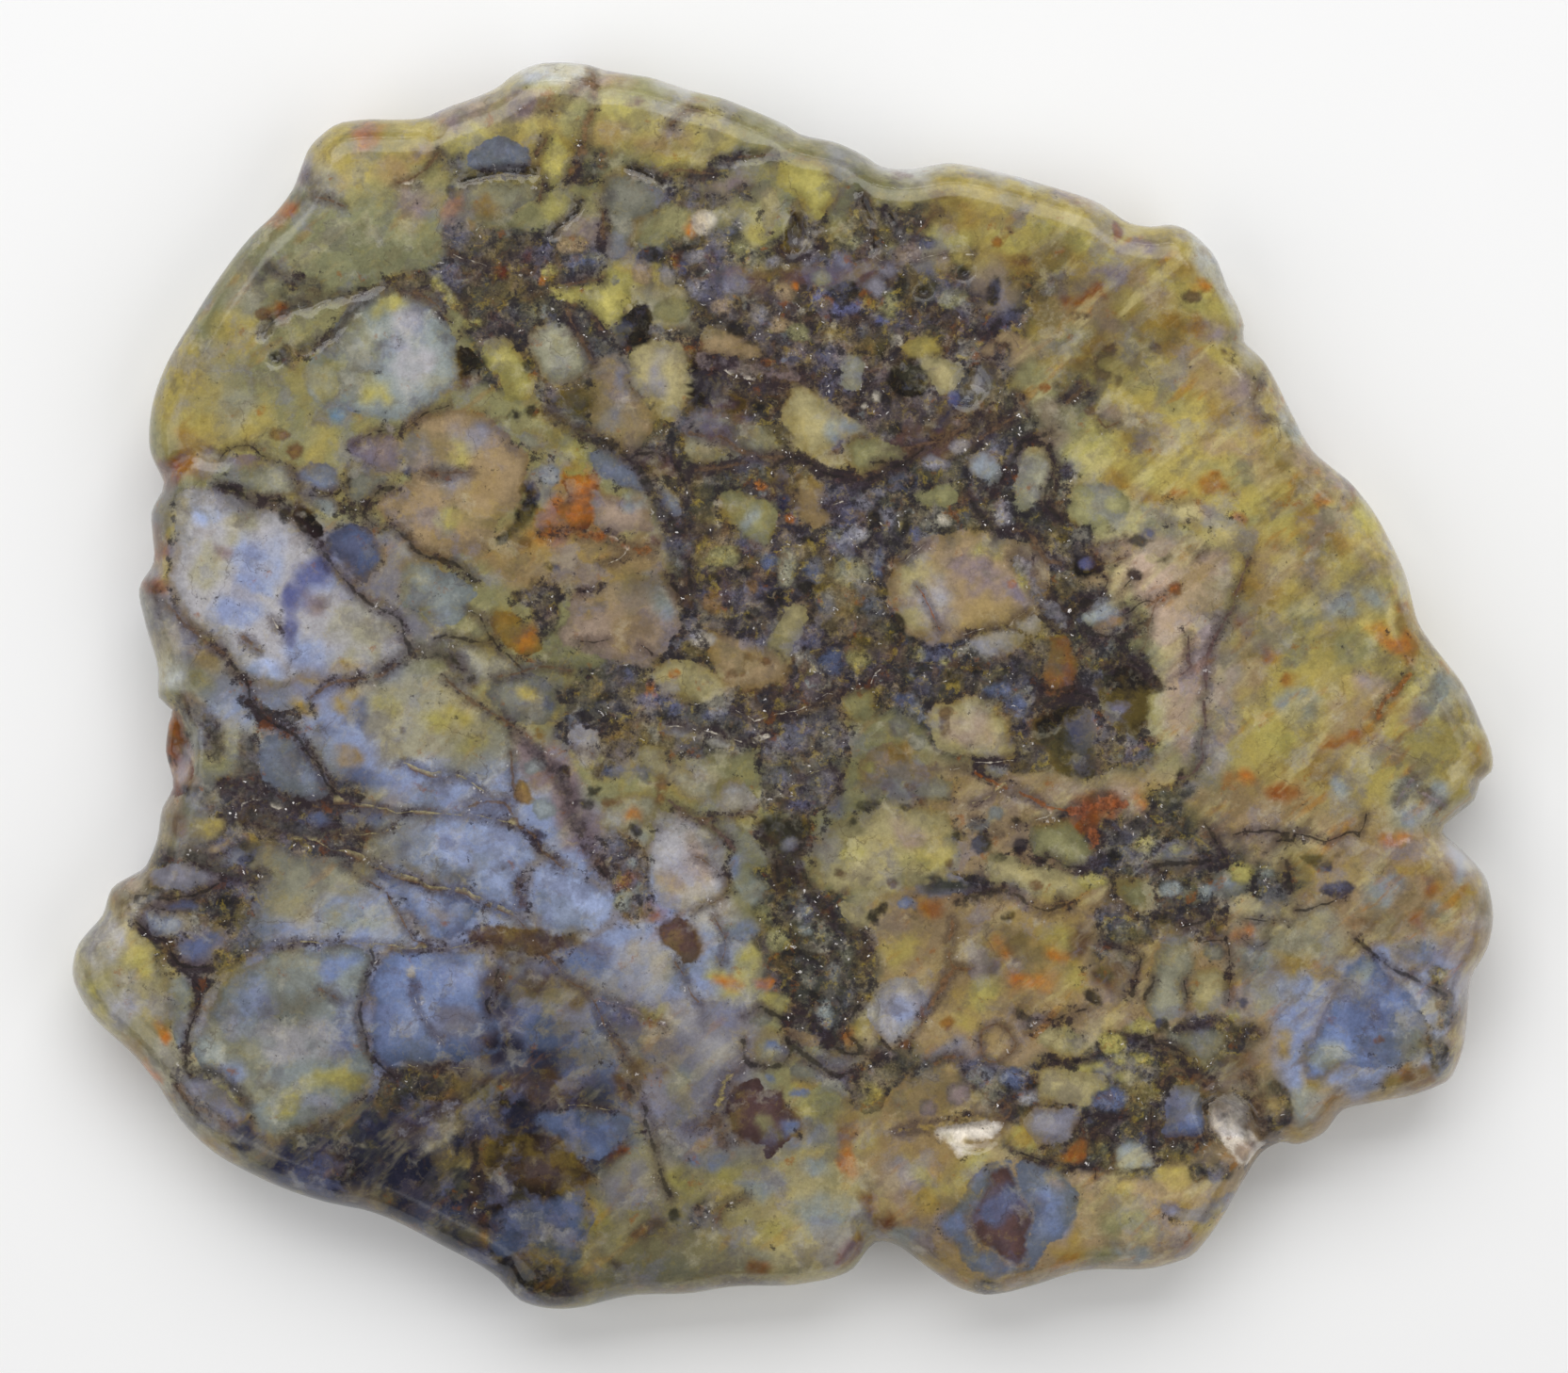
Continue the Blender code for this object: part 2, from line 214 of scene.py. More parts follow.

# Upper left: olive chalcedony with a lilac lens in it, brown stains near the rim, a band of pale green
# painted sheen, and painted shade in two creases.
clouds("rust", "-31.5,11.7,2,.5 -31,12.9,.7 -32.3,11,.6,.9 -26.4,24.6,.5 -26,19.6,.5")
clouds("mustard", "-27.7,13.5,1 -24,12.5,1 -28.3,18.6,1.2 -30,14,1.5,2 -23,28,2.5,1.5 -28,21,1")
# These pale green clouds are painted sheen: the shine of the polish over the upper left, painted as a tint.
clouds("pale green", "-29,14.3,1.2 -28,20.5,1.5 -24.5,26,1.3 -25,22.5,2,1 -29.5,17,1")
clouds("dark moss", "-20.8,23.3,1.5,.8 -24.3,24,1,.5 -26.5,22,1,.4 -22,22,2,.6 -26,17.5,1,.5")
areas("moss", 1.5, "-27,22 -23,21 -18,22 -17,25 -21,26 -26,24")
clasts("lilac", "-22.5,20.3 -20.5,20.8 -19.5,20.3 -18,19.4 -17.2,18 -17,16.5 -17.7,15.2 -19,14.4"
       " -20.5,13.9 -22.5,14.3 -24.5,14.8 -25,16.5 -23.8,18.2")
clouds("olive", "-22.8,17.5,1.5,2.2 -23.5,15.5,1")
clouds("lilac white", "-19.5,17.5,.9,2.5")
clouds("yellow", "-21.5,15.3,.8 -20.5,19.8,1,.5")
clouds("teal", "-23.5,14.25,.6,.35")
clasts("purple grey", "-22.5,13 -20.5,12.9 -20.1,12 -20.6,11.3 -22.6,12", "-29,12 -27.8,12.2 -27.3,11.7"
       " -28.5,11.5")
clasts("pale green", "-29,11.1 -26.5,11.6 -25.6,10.8 -25.3,10.2 -26.5,9.9 -28,10.2 -29.5,10.7")
clasts("grey blue", "-25.5,11 -24.6,11.6 -23.3,11.3 -22.9,10.6 -23.5,10.1 -24.9,10.3")
clasts("lilac", "-25.1,10.1 -23.5,10 -23.2,9.4 -23.8,8.8 -24.6,9.2")
clasts("olive grey", "-22.9,11.8 -21.2,11 -21,10.4 -21.6,9.6 -22.7,9.6")
clasts("black", "-25.5,9.5 -24.8,9.2 -24.3,8.3 -23.9,7.9 -24.3,7.6 -25.4,8.2")
clasts("slate blue", "-23.9,7.6 -23,8.5 -22.2,8.4 -21.5,7.6 -21.1,6.6 -21.7,5.6 -22.2,5.3 -22.9,6"
       " -23.6,6.8")
crumbs("brown", "-26.3,13.2,.5,.3 -27.3,19.4,.4,.25 -30,12.3,.4,.3 -25.6,12.2,.4")
crumbs("orange", "-27.4,14.4,.3 -18.2,21,.3")
crumbs("black", "-26.6,17.15,.3 -26,9,.3,.5 -19.5,11.2,.3,.2 -22.6,10.8,.25,.4")
veins("black", 0.22, "-29.4,11.9 -28.6,12.5 -28,12.6 -27.4,12 -26.8,11.7", "-22.7,12.5 -21.5,13.2"
      " -20.5,13.3 -19.5,13.6 -18.5,14.4 -17.5,14.6", "-25.9,11.2 -25,9.9 -23.6,9.9 -22.8,10.4")
veins("black", 0.38, "-29.8,10.4 -28.4,10 -27.6,9.65 -26.3,9.6 -25.6,9.1 -25.1,8.2 -24.4,7.7 -24.1,7.2"
      " -23.6,6.2 -22.6,5.1 -21.8,4.4 -21.2,4 -20.3,3.5 -19.9,2.6 -19.6,2", "-23.2,9.3 -22,9.1 -21.3,9.9"
      " -20.5,10.2", "-22.2,9.1 -21.2,8.3 -20.2,8 -19.4,7.1 -18.2,6.6 -17.2,6.3 -16,5.5")
# The first two dark moss veins follow the creases cut below: painted shade in the creases.
veins("dark moss", 0.35, "-27.2,18.5 -26.4,19.2 -25.6,19.8 -24.5,20.1 -23.2,20.2", "-24.9,17.6"
      " -23.8,18.2 -23.2,18.6 -22.6,19.5 -21.7,20.3 -20.7,20.9", "-27,22.1 -26.1,21.3 -24.3,20.9")
veins("umber", 0.2, "-24.4,25.6 -23,25.1", "-25.8,26.6 -24.9,26.9")
crumbs("white", "-20.6,13.35,.12 -19.75,11.6,.15,.3 -25.1,8.9,.12 -23.2,5.8,.12,.2 -21.3,4.2,.15")

# Top: the mustard bulges under the upper rim, with open slits between them, and painted shade in the slits
# and in a pit.
clouds("orange", "-21.9,28.5,.6 -15.4,24.9,.6 -17.3,24.6,.4,.8")
clouds("purple grey", "-25.6,26.8,.8,.5 -17.8,30,1,.6 -19.2,25.3,1.1 -14,30.5,1.5,.8 -3,26,2,.8"
       " -10.5,24,1.5,1")
clouds("orange tan", "-9,28.8,1.2,.7 -18.6,27.8,.5 -6,28.5,1.5,.6 -20,27,1")
clouds("yellow", "-12,25.8,1,1.2 -8,30,1.5,.7 -16.5,28.8,1 -1,24,1,.6 -5.5,27.8,1,.5 9,24,1.4,1")
clouds("dark moss", "-16.2,23.6,1.5,.9 -13.6,23,1 -4.5,25.5,1.8,.8 1.5,24.5,1.2,1.4 4.4,24,1.2,1.5"
       " 7.5,24.6,1,.7 -7,25.2,.9,1.2 -1.8,25.6,1,.5")
clasts("grey blue", "-16.5,27.2 -15.6,28.4 -14.2,28.6 -13.3,28.2 -13.2,27.1 -14.8,27")
clasts("pale green", "-16.7,25.8 -15.8,26.4 -13.1,26.1 -12.9,25.4 -14,24.5 -14.8,23.9 -15.8,24.2"
       " -16.6,25")
clouds("orange yellow", "-15.4,24.9,1,.6")
clasts("yellow", "-12.8,27 -12.3,28.7 -11.2,28.5 -10.8,27.3 -11.4,26.2 -12.5,26.2")
clasts("olive grey", "-9.2,26.4 -7.9,26.8 -6.3,26 -6.5,25 -7.4,24.4 -7.8,23.4 -8.2,22.4 -9.2,22.6"
       " -9.2,24 -9.6,25.2")
clasts("cream", "-1.1,25.8 -.5,25.9 -.2,24.8 -.6,23.6 -1.1,24")
# These black veins follow the open slits cut below: painted shade in the slits.
veins("black", 0.42, "-16.6,26.5 -15.6,26.85 -14.5,27 -13,26.95", "-12,23.75 -11.5,24.2 -11,24.8"
      " -10.6,25.3", "-8,27.05 -6.8,26.7 -6.3,26.3")
# Painted shade in the two slender slits.
veins("black", 0.26, "4.1,25.8 4.5,25.1 4.6,24 4.9,22.7", "5.2,25 5.9,24.1 5.8,23.4")
clasts("yellow", "-.2,27.4 1.2,27.6 2.4,26.9 3,25.9 2.2,24.6 1.5,24.2 .9,25.3 .3,25.6 -.3,26.2")
# A black clast in the deep pit: painted shade in the pit.
clasts("black", "-.2,22.8 .2,23.6 .4,24.8 .6,25.2 .9,24.4 1.3,23.6 1.9,22.9 1,22.6 .4,22.6")
veins("white", 0.1, "-.3,22.9 .2,22.5 1,22.4 1.7,22.5 2,22.8", "4.6,22.9 4.9,22.4 5.4,22.3")
# The last umber vein, at -3,27.4, lies in the wide slit cut there and is painted shade in it.
veins("umber", 0.28, "-12.9,27.8 -12.4,28.6", "-12.7,26.4 -12.7,25.4", "-18.2,27.9 -19,26.8 -20.2,26.3",
      "-6.2,26.7 -4.5,26.9 -3.6,26.7", "-9.6,24.9 -9.3,23.2", "-5.9,29.3 -5.3,29.9 -4.2,30.2", "8.2,24.8"
      " 7.6,24.4 7.1,23.7", "-3,27.4 -2.4,27.7 -.5,27.7")
veins("brown", 0.45, "-9.9,32.2 -9.8,31 -9.9,30.2 -10.4,29.3 -10.4,28.3 -10.7,27.6 -11.2,26.7",
      "-13.5,30.3 -12,30.5 -11,31.1 -10.2,31.7")
crumbs("black", ".45,22.9,.35,.2 -10.2,26.4,.3 -17.4,26,.25,.5")
crumbs("white", "-4.15,24.3,.65,.75 -5,23.5,.2 1.25,23.2,.2 -20.3,26.6,.12 -7.6,26.5,.3,.08")
clouds("orange", "-4.6,24,.3,.5")
crumbs("rust", "11.85,23.85,.2 11.4,23.3,.3,.2 17.5,23.8,.25,.7")
crumbs("brown", "-7.6,30.5,.7,.25 8.5,25.7,.8,.25 12.5,22.3,.4,.3 6.2,26.8,.5,.2")
veins("white", 0.1, "7,22.3 8.6,22.6", "9.6,22.5 10,22.5", "-19,26.1 -19.7,26.3", "-17.2,22.6 -15.5,21.9")

# The dark matrix below the top, crowded with bits.
clasts("brown matrix", "-20.6,21.2 -19,21.6 -17.9,22 -16.5,21.9 -15.6,22.3 -14.9,23.2 -13.8,23.6"
       " -12.6,23.5 -12,22.5 -12,20.8 -13.3,20.2 -15.2,20.1 -16,20.8 -16.3,20.1 -17.2,20.3 -17.9,20.7"
       " -19.2,20.3 -20.4,20.8")
crumbs("yellow", "-18.2,21,.5 -17.5,20.3,.35 -17,19.8,.3 -16.2,18.9,.5,.3 -12.2,21.8,.3 -9.7,22.4,.5,.3")
crumbs("red rust", "-14.6,21.7,.3 -15.2,19.2,.35 -14.8,18.9,.25 -13.9,18.6,.3 -5.7,22.4,.35 -3.7,22.4,.3"
       " -13.4,22.4,.3,.4")
crumbs("lilac grey", "-4.6,22.5,.6,.5 -4.5,20.8,.7,.6 -2.4,20.9,.6,.5 -.6,22.2,.6,.4 1.4,22.4,.5"
       " -6,21.3,.5,.6 -1.2,19.4,.5,.6 3.2,22.2,.4,.5 5.6,21.8,.6,.4 4.9,20.8,.5,.6")
crumbs("tan", ".2,20.6,.6,.5 -7.3,21.6,.6,.8 -3.2,19.8,.5 6.6,22.6,.7,.5 -11,23,.9,.5 -.2,18.9,.6,.4"
       " 8.4,22.2,.5,.6")
crumbs("orange", ".6,20.9,.25 -12.6,21.2,.2 2.4,20.4,.2")
crumbs("olive", "2,21.3,.6,.5 .8,18.4,.7,.5 -5.8,19.6,1,.7 -2.2,22.9,.6,.4 5.5,19.8,.5,.8"
       " 3.9,23.1,.6,.35 8.9,20.2,.8,.6")
crumbs("black", "-6.9,22.5,.7,.5 -5,22.9,.5,.3 -2.3,18.7,.7,.4 3.2,20.6,.8,.6 1.6,19.6,.5,.3"
       " -3.4,21.6,.3,.6 6.2,20.9,.4,.7 11.1,20.7,.35,.7 7.7,21.4,.3,.5 -10.1,21.9,.4,.3")
crumbs("deep blue", "3.6,19.6,1,.4 1.9,20.5,.35 5.2,19.1,.5,.3 -5.2,21.9,.25,.35")
crumbs("white", "6.1,18.1,.3 9.4,18.15,.22 1,19.6,.25,.12 8.35,8.6,.42,.38 12.5,11.2,.15 .2,21.7,.12"
       " 2.7,18.9,.12")
crumbs("slate blue", "-10.3,22.1,.8,.2 -8.9,21.2,.2 4.2,18.6,.4,.5")
veins("umber", 0.25, "-19.3,20.6 -18.2,19.9 -17.6,19.1")
veins("white", 0.1, "3.1,19.2 3.9,19.1 4.6,19", "-16.2,22 -15.6,22.2")

# Upper middle: cream, tan and yellow bits of plant and bone packed in the dark matrix.
areas("yellow white", 1, "-8,20.8 -5,20.8 -4.6,18.6 -7,18.4")
areas("orange tan", 1.2, "-17,6 -15,8.4 -12,9 -9,7.9 -6,7.6 -6,5.2 -12,4.6")
clasts("yellow", "-12,20.9 -9.6,21.3 -9.2,21.9 -8.1,21.6 -7.9,20.8 -8.4,19.6 -8.3,18.9 -8.9,18.3"
       " -9.9,19.2 -10.6,20.1 -11.5,20.3", "-15.9,17.9 -14.6,18.2 -13.6,17.3 -13,16.4 -13.1,15.3"
       " -13.7,14.8 -14.6,15 -15,16.2 -15.8,17", "-11.9,13.8 -11,13.2 -10.5,12.6 -10.3,11.9 -10.5,11.2"
       " -11.2,10.9 -11.9,11.5 -12,12.6")
clasts("black", "-9,18.5 -8.2,19.4 -7.4,20.2 -6.9,19.6 -7,18.6 -7.2,18 -8.3,17.8 -8.8,18.1", "-17.2,17.7"
       " -16.5,17.5 -15.6,16.9 -16,16.2 -16.8,16.1", "-12.4,14.8 -11.3,15.5 -10.5,15.7 -10,15.2 -10,14.3"
       " -10.3,13.5 -11,13.3 -12,14.1 -12.8,14.3", "-4.9,17.6 -4.2,17.4 -3.8,16.9 -3.3,16.2 -3,15.5"
       " -2.3,15.2 -2,14.6 -3.2,14.3 -4.2,14.2 -4.8,13.4 -5.2,13 -4.9,14.8 -5,15.8", "-15.2,7.6"
       " -14.5,8.2 -14,9 -13.6,10.3 -13,10.7 -12.9,9.6 -13.2,8.6 -13.6,8.1 -14.6,7.5")
clasts("cream", "-7.9,17.2 -7.1,18 -6.3,18.2 -5.4,18 -5,17.2 -4.9,16 -5,15 -5.3,14.2 -6,13.8 -6.6,14.3"
       " -7,14.9 -7.9,15.6 -8.1,16.5", ".4,15.6 1.6,15.5 2.3,15 3,14.4 3.6,14 4.3,13.8 4.4,13.2 3.3,12.9"
       " 2.9,12.6 2.2,12.3 3.3,11.8 4,11.3 2.6,11.2 1.4,11.9 .5,12.3 .3,13.2 0,14.2")
clasts("tan", "-9.9,17 -8.7,17.3 -8.2,16.6 -8,15.7 -7.6,14.9 -7,14.3 -6.8,13.2 -7.2,12.5 -7.9,12.1"
       " -8.8,12.5 -9.8,13 -10.2,13.9 -9.7,14.9 -9.9,16", "-4,18.8 -2.8,18.6 -2.2,18 -1.2,17.6 -1.3,17"
       " -2.5,17.2 -4,17.6")
clouds("lilac grey", "-9.2,13.5,.8 -8.6,15.6,.5,.8 -6.5,16.2,.5,.9")
clasts("pale green", "-12.9,16.5 -12,15.5 -11.2,15.9 -10,16.8 -10.3,17.6 -11,18.4 -11.7,19 -12.9,18.8"
       " -13.3,17.6", "3,16.9 3.5,17.4 4.2,17 4.2,16.2 4,15.5 3.2,15.5 2.9,16.1", "-4.6,13.9 -3.8,14.1"
       " -2.6,13.8 -1.3,13.6 -.5,13.2 -.3,12.6 -1.2,12.3 -2.5,11.9 -4,11.7 -5,12.3 -5.2,13", "-13.9,12.9"
       " -13,13.2 -12.4,12.7 -12.6,12.2 -13.2,12.1")
clasts("tan", "-19.9,13.2 -19,14 -17.8,14.4 -16.3,14.3 -15.3,14.2 -14.8,13.5 -14.1,12.8 -13.2,12"
       " -13.4,11 -13.8,10.4 -13.6,9.6 -14.6,8.6 -15.2,7.9 -15.4,7.2 -17.5,6.6 -19.3,7 -19.8,8 -20.7,8.6"
       " -21.2,9.5 -20.3,10.2 -19.6,11 -20.1,12")
clouds("lilac grey", "-19.3,12.4,.7 -17,11,1.6,.6 -16.3,13,1,.7")
clouds("orange tan", "-17.5,8.2,1.3,.8 -15.5,10.5,1")
clouds("yellow", "-17.3,8.9,.9,.6 -16.8,12.2,.7")
clasts("grey blue", "-10,12.2 -9,12.3 -8,11.6 -7.3,10.9 -7,10.2 -7.6,10.1 -9,10.5 -9.7,11.2", "-7,10.5"
       " -6.3,10.8 -5.8,10.3 -5.3,9 -6,9.2")
clasts("purple brown", "-7.5,12.1 -6.3,12.2 -5.5,11.4 -5.3,10.8 -7.2,11.2")
clasts("rust", "-11.5,11 -10.5,11.1 -9.8,11.1 -9.6,10.4 -9.9,9.6 -9.8,8.9 -10.3,8.2 -11.5,8.1 -12.8,8"
       " -13,8.8 -12,9.3 -11.2,9.8")
clouds("orange", "-10.6,10,1.1,1.3 -11.5,8.9,1.5,.8 -9.6,8.5,.8,.5 -12.4,8,.8,.6")
clasts("pink tan", "-9.7,10 -8.2,9.9 -7.2,9.5 -6.9,8.7 -6.9,8 -8.2,7.9 -9.3,8 -10,8.6")
clouds("lilac", "-8,9.3,.8,.4")
crumbs("red rust", "-13.6,7.4,.45,.35 -6.9,7.5,.5,.3 -4.5,17.9,.4,.25")
veins("rust", 0.5, "-12.5,7.9 -10,7.9 -9,7.6 -7,6.9")
crumbs("lilac", "-12.3,11,.55")
crumbs("umber", "-14.9,13.9,.4,.25 -16.5,15.8,.7,.3,20 -1.8,12,.5,.2 2.2,16.6,.5,.3")
crumbs("black", "-14,14.1,.4 -13.2,16.7,.35,.55 -13.2,14.3,.3 -2.5,11.2,.6,.2 5.4,14.7,.3,.5"
       " 5.9,13.6,.4,.3 -1.2,14.6,.5,.35 1.8,17.7,.6,.3 -.6,15,.4,.2 5.2,17.4,.35,.5 2.4,17,.3,.4")
veins("black", 0.62, "-12,14.2 -10.9,13.3 -9.8,12.9 -8.8,12.5 -8.2,12 -7.6,11.3 -7,10.4 -6.6,9.5"
      " -6.1,8.9 -5.6,8.3 -5,8 -3.9,8.1")
veins("black", 0.35, "-7.8,12 -6.5,12.1 -5.7,11.6 -5.2,10.9 -4.9,9.7", "-.6,11.4 .5,11.8 1.5,11.5 2.5,11"
      " 4.5,10.8 6.3,11.4", "4.7,11.6 6.2,11.5 7.4,12.2")
veins("umber", 0.3, "-11.6,20.9 -9.5,21.4", "-11.3,19.8 -10.9,18.6 -9.9,16.9", "-10.1,19.3 -9.4,18.4",
      "-18.6,11.1 -16.4,11.2", "-4.8,13.2 -3.2,13 -2.2,12.2 0,11.9", "-4.6,11.2 -2,11.6")
veins("white", 0.1, "-9,8 -8.4,7.5 -8.1,7 -8.5,6.6 -9.5,6.3", "-3.5,16.6 -1.5,15.9 0,15.6")
veins("purple grey", 0.7, "-4.3,17.1 -2.5,16.6 .8,16")
crumbs("white", "-6.5,12.7,.14 -5.6,12.3,.12 -4.8,9.6,.12 -3.4,9.5,.14 -3.3,8.4,.12 4.9,15.1,.15,.3"
       " 4.3,14.6,.1 -9.6,12.8,.12 -7.4,10.9,.1 -6.2,8.7,.12")
crumbs("orange", "-.75,16.8,.45,.2 18.55,16,.15")
clasts("olive", "3.3,12.4 4,12.9 5.3,12.8 6.2,12.2 6.6,11.8 5.8,11.5 4.5,11.3 3.6,11.3", "-3.2,10"
       " -2.2,10.2 -1.3,9.7 -.6,9.2 -.4,8.4 -1,7.4 -2,7.6 -2.6,8.2 -3.1,9", "7.1,9.9 8.2,10.5 9,10.2"
       " 9.2,9.6 8.2,9.3 7.4,9.3")
clouds("lilac", "3.6,13.8,.5,.3 2.6,13.1,.5 -4.3,13.8,.5,.2 -2,8.8,.5")
clasts("blue black", "7.4,13.1 7.9,13.9 8.7,14.8 9.3,15.6 9.8,16.2 10.4,16.7 11.2,16.6 11,15.4 10.3,14.6"
       " 9.2,14 8.4,12.9", "-.5,11 .2,11.4 .4,10 0,9.2 -.4,9.6")
clasts("black", "5.6,16.6 6.6,17 7.6,16.2 7.2,15.2 6.2,15")
clasts("cream", "7,16.8 8.5,17.1 9.5,16.6 9.3,15.9 8.4,15.2 7.6,15.9")
clasts("mustard", "6.2,17.6 7.2,18.3 8.4,17.7 7.4,17")
clasts("orange tan", ".9,10.6 1.8,10.9 2.2,10.3 2.1,9.6 2.6,9 2.5,8.4 1.6,8.3 .9,8.8 .7,9.8")
clasts("lilac", "10.3,12.2 11.2,12.1 11.4,11 11,10.3 10.2,10.8 9.9,11.6")
clasts("pale green", "12.4,11.8 12.9,12.5 13.8,12.5 14,11.6 14.1,10.3 13,9.3 12.2,9.3")
clasts("olive", "15.3,10.6 16.4,10.5 18,9.9 18.1,9 17.4,8.5 15.4,8.4 14.9,9.3")
crumbs("orange", "-1.2,10.4,.22 .4,8.7,.2 2.8,10.6,.15")
crumbs("lilac grey", "4.2,9.6,.6,.5 3.8,7.8,.7,.5 5.4,8.8,.5,.6 2.8,7.2,.5 5,10.2,.4,.3 9.3,12.6,.6,.4"
       " 8,11.6,.7,.4 11.6,9,.5,.6")
crumbs("black", "3.4,8.9,.5,.25 4.8,8.5,.3,.6 5.6,7.4,.5,.3 2.6,10.5,.3 6.7,10.6,.5,.3 9.6,10.9,.3,.5"
       " 6.5,8.6,.3,.7 7.9,8.6,.25,.4 10,13.5,.3,.5 12,14.8,.3 13.5,8.8,.3,.3")
crumbs("deep blue", "9,14.9,.3,.5 10.3,15.8,.3,.4 3.9,8.4,.3,.2 7.2,7.8,.3,.4")
veins("white", 0.12, "2.3,9.4 3.2,9.6", "10.4,17 11,16.8")
veins("black", 0.42, "11.1,10.2 11.6,11 12.1,11.7 12.6,12.7 13.3,13 14,13.3", "9.7,9.9 10.2,9 10.8,8.4"
      " 11.2,7.8", "10.5,18.3 11.4,19.1", "14,12.6 14.4,11.6 14.9,11.3", "14.1,10.8 13.7,9.6 14.4,8.7")
veins("umber", 0.3, "6.3,12.1 8.2,12.8 9.8,13.6 10.4,14", "12.1,8.2 12.6,8.1 13.3,7.5 13.8,6.6 14.6,6.3",
      "12.4,15.3 12.8,14.3", "14.9,14.8 15.7,15.6", "12,14 10,12.6")
clouds("deep mustard", "13,22.6,3,1.8,-15 15.2,18.6,2.4,2.2 9.5,24.6,2,.8")
clouds("olive", "13.4,15.9,2.2,1.2,20 15.6,12.4,1.5,2.2 17.6,8.4,1.4,1.8")
clouds("grey tan", "10.8,20.8,1.5,1.6 14,13.6,1.1,1.3 16.4,20.8,1.6,1")
clouds("purple brown", "-1,21.4,3,1 4.5,21.6,3,1.1 -3,13.6,1.6,1.2 7.6,12.6,2.2,.8")

# Right: a broad mustard field with rusty stains that run down to the right.
clouds("deep mustard", "20,18.4,2.5,.7,-35 24,14,2,.6,-40 28,8,2.5,.7,-35 30,4,2,.6,30 31,-1,2,.6,45"
       " 33.5,3,.8,1.5,20 36.5,-4,.8,1.3 18,13.4,2,.6,-30 26.5,11,2,.6,-40 14,20,1.2,.5 21,22,1.5,.6,-30"
       " 25,5,1,2 28,-4.5,2,.8")
clouds("tan", "16,19,2.5,.8,-35 22,16.5,2,.8,-40 27,6,2.4,1.2,-40 24,12,2.5,.8,-35 29.5,-2,1.6,2.4"
       " 24,1,1.2,2.5 31,6.5,1.5,.8,-40 19,21,2,.7,-35 12,17.5,1.5,.8 17,6,1.4,1.6")
clouds("yellow", "12.5,23.6,2,1 16,23,2,.8,-20 22,20,1.5,.8,-40 27,13.4,1.5,.8,-45 33.5,-1,1.2,1.6"
       " 30.5,9,1.2,.8,-40 16.3,12.3,1.2,1.4 18.9,11.6,1,.5 25.5,9,1.4,.7,-30 32,5.5,1,.6 26,-3,1.2,1")
clouds("olive", "19.5,15.4,2,.8,-35 24.5,8.4,1.4,.6 14.6,18.2,1.4,.6 30,2,1.2,.6,-30 27,2.4,1,1.6"
       " 23,11,2,.5,-10")
clouds("purple grey", "17,21.6,1,.5 22.4,18.5,1,.6 18.5,22.9,.8,.4 22.5,5.7,1.3,1 20,13,1.2,.4,-30"
       " 24.3,15.6,1.1,1.4 33,-1.4,1,.8")
clouds("lilac", "30,4.2,1.9,.9 27,13.5,1.2,.6,-45 34.5,-.6,1.2,1 33.5,-6,1.6,1.3 20.8,-1,.9,1.5"
       " 23,-1.5,.7,3 16.4,3.9,.8,.6 27,-1,1,.6")
clouds("pink tan", "27.7,12,1,.6 23,-1.6,.6,3 31,0,1,.6")
clouds("rust", "20.5,9.95,.5,.25 22.4,10.3,.8,.2 24.3,8.7,.4,.3 29.8,10.45,.5,.3 24.2,3.3,.5,.7"
       " 25.3,1.9,.4 26.6,.3,.5,.3 29.3,-3.2,1.1,.3 32.8,4.2,.4,.3 33.1,2.2,.4,.6 26,-5.6,1,.5"
       " 34,-10.4,.5,.4 15.3,20.4,.3,.2 16,20.3,.3,.2")
clouds("orange", "32,2.6,1.3,.3,-10 18.7,-6.4,.7,.6 22,20.5,.4,.3 32.5,-8,.9,.5 28,9.6,.5,.2"
       " 23.9,-4.8,.6,.4")
clouds("orange yellow", "18.7,10.2,2,.4,-12 21,19,1.4,.4,-30 17.3,3.2,.7,.25 31,-3,.8,.5")
crumbs("rust", "23.6,9.9,.3,.15 28.3,10.05,.2,.12 22.55,20.75,.25,.15 20.6,5.05,.3,.25 13.8,15.6,.3,.2")
crumbs("umber", "13.3,20.3,.6,.3 15.5,19.3,.5,.25 21.5,20.3,.5,.3 16.8,16.2,.6,.5 17.6,15.9,.3,.5"
       " 16.1,14.3,.3,.2 17,17.4,.7,.25,35 12.9,18.6,.4,.2 19.6,17.6,.4,.15,-30 23.4,17.2,.5,.15,-30")
crumbs("cream", "18.7,20.8,.3,.15 15.5,17.4,.3,.2 19.4,6.7,.4,.2")
veins("umber", 0.16, "16.6,13.9 17,13.5 17.6,13.8", "19.7,4.6 19.2,3 18.8,1.8", "16.1,7.1 18,7.6",
      "16.5,6.3 18,6.6", "21.7,6.6 22.3,7.2", "25.5,16.3 24.6,14.6 25.4,13.8")
clasts("cream", "19.9,9.4 21.5,9.7 23,9.2 24.2,8.4 24.9,7.5 24.5,6.6 23.6,6.9 22.6,7.4 21.3,8.5 20.2,8.4")
clouds("tan", "22,9,.8,.3")
veins("rust", 0.35, "32.9,.7 32.6,.1 31.9,-.5 31.4,-1 31.2,-1.8", "20.6,5 19.7,4.5")
veins("purple grey", 0.35, "33.2,-5.6 34.7,-6.3", "33,-5 32.2,-6.2")
areas("pink tan", 1, "17.6,7.6 20,8 23,6.4 22.6,2 21.6,-4 20,-3 20,1 18.4,5")
clasts("black", "15.2,6.9 16,6.9 16.6,6 15.9,5.6 15.2,6")
crumbs("deep blue", "15.9,6.4,.35,.3 19.2,7.9,.25 17.7,-1.1,.5,.3 16.7,-1.8,.3,.2")
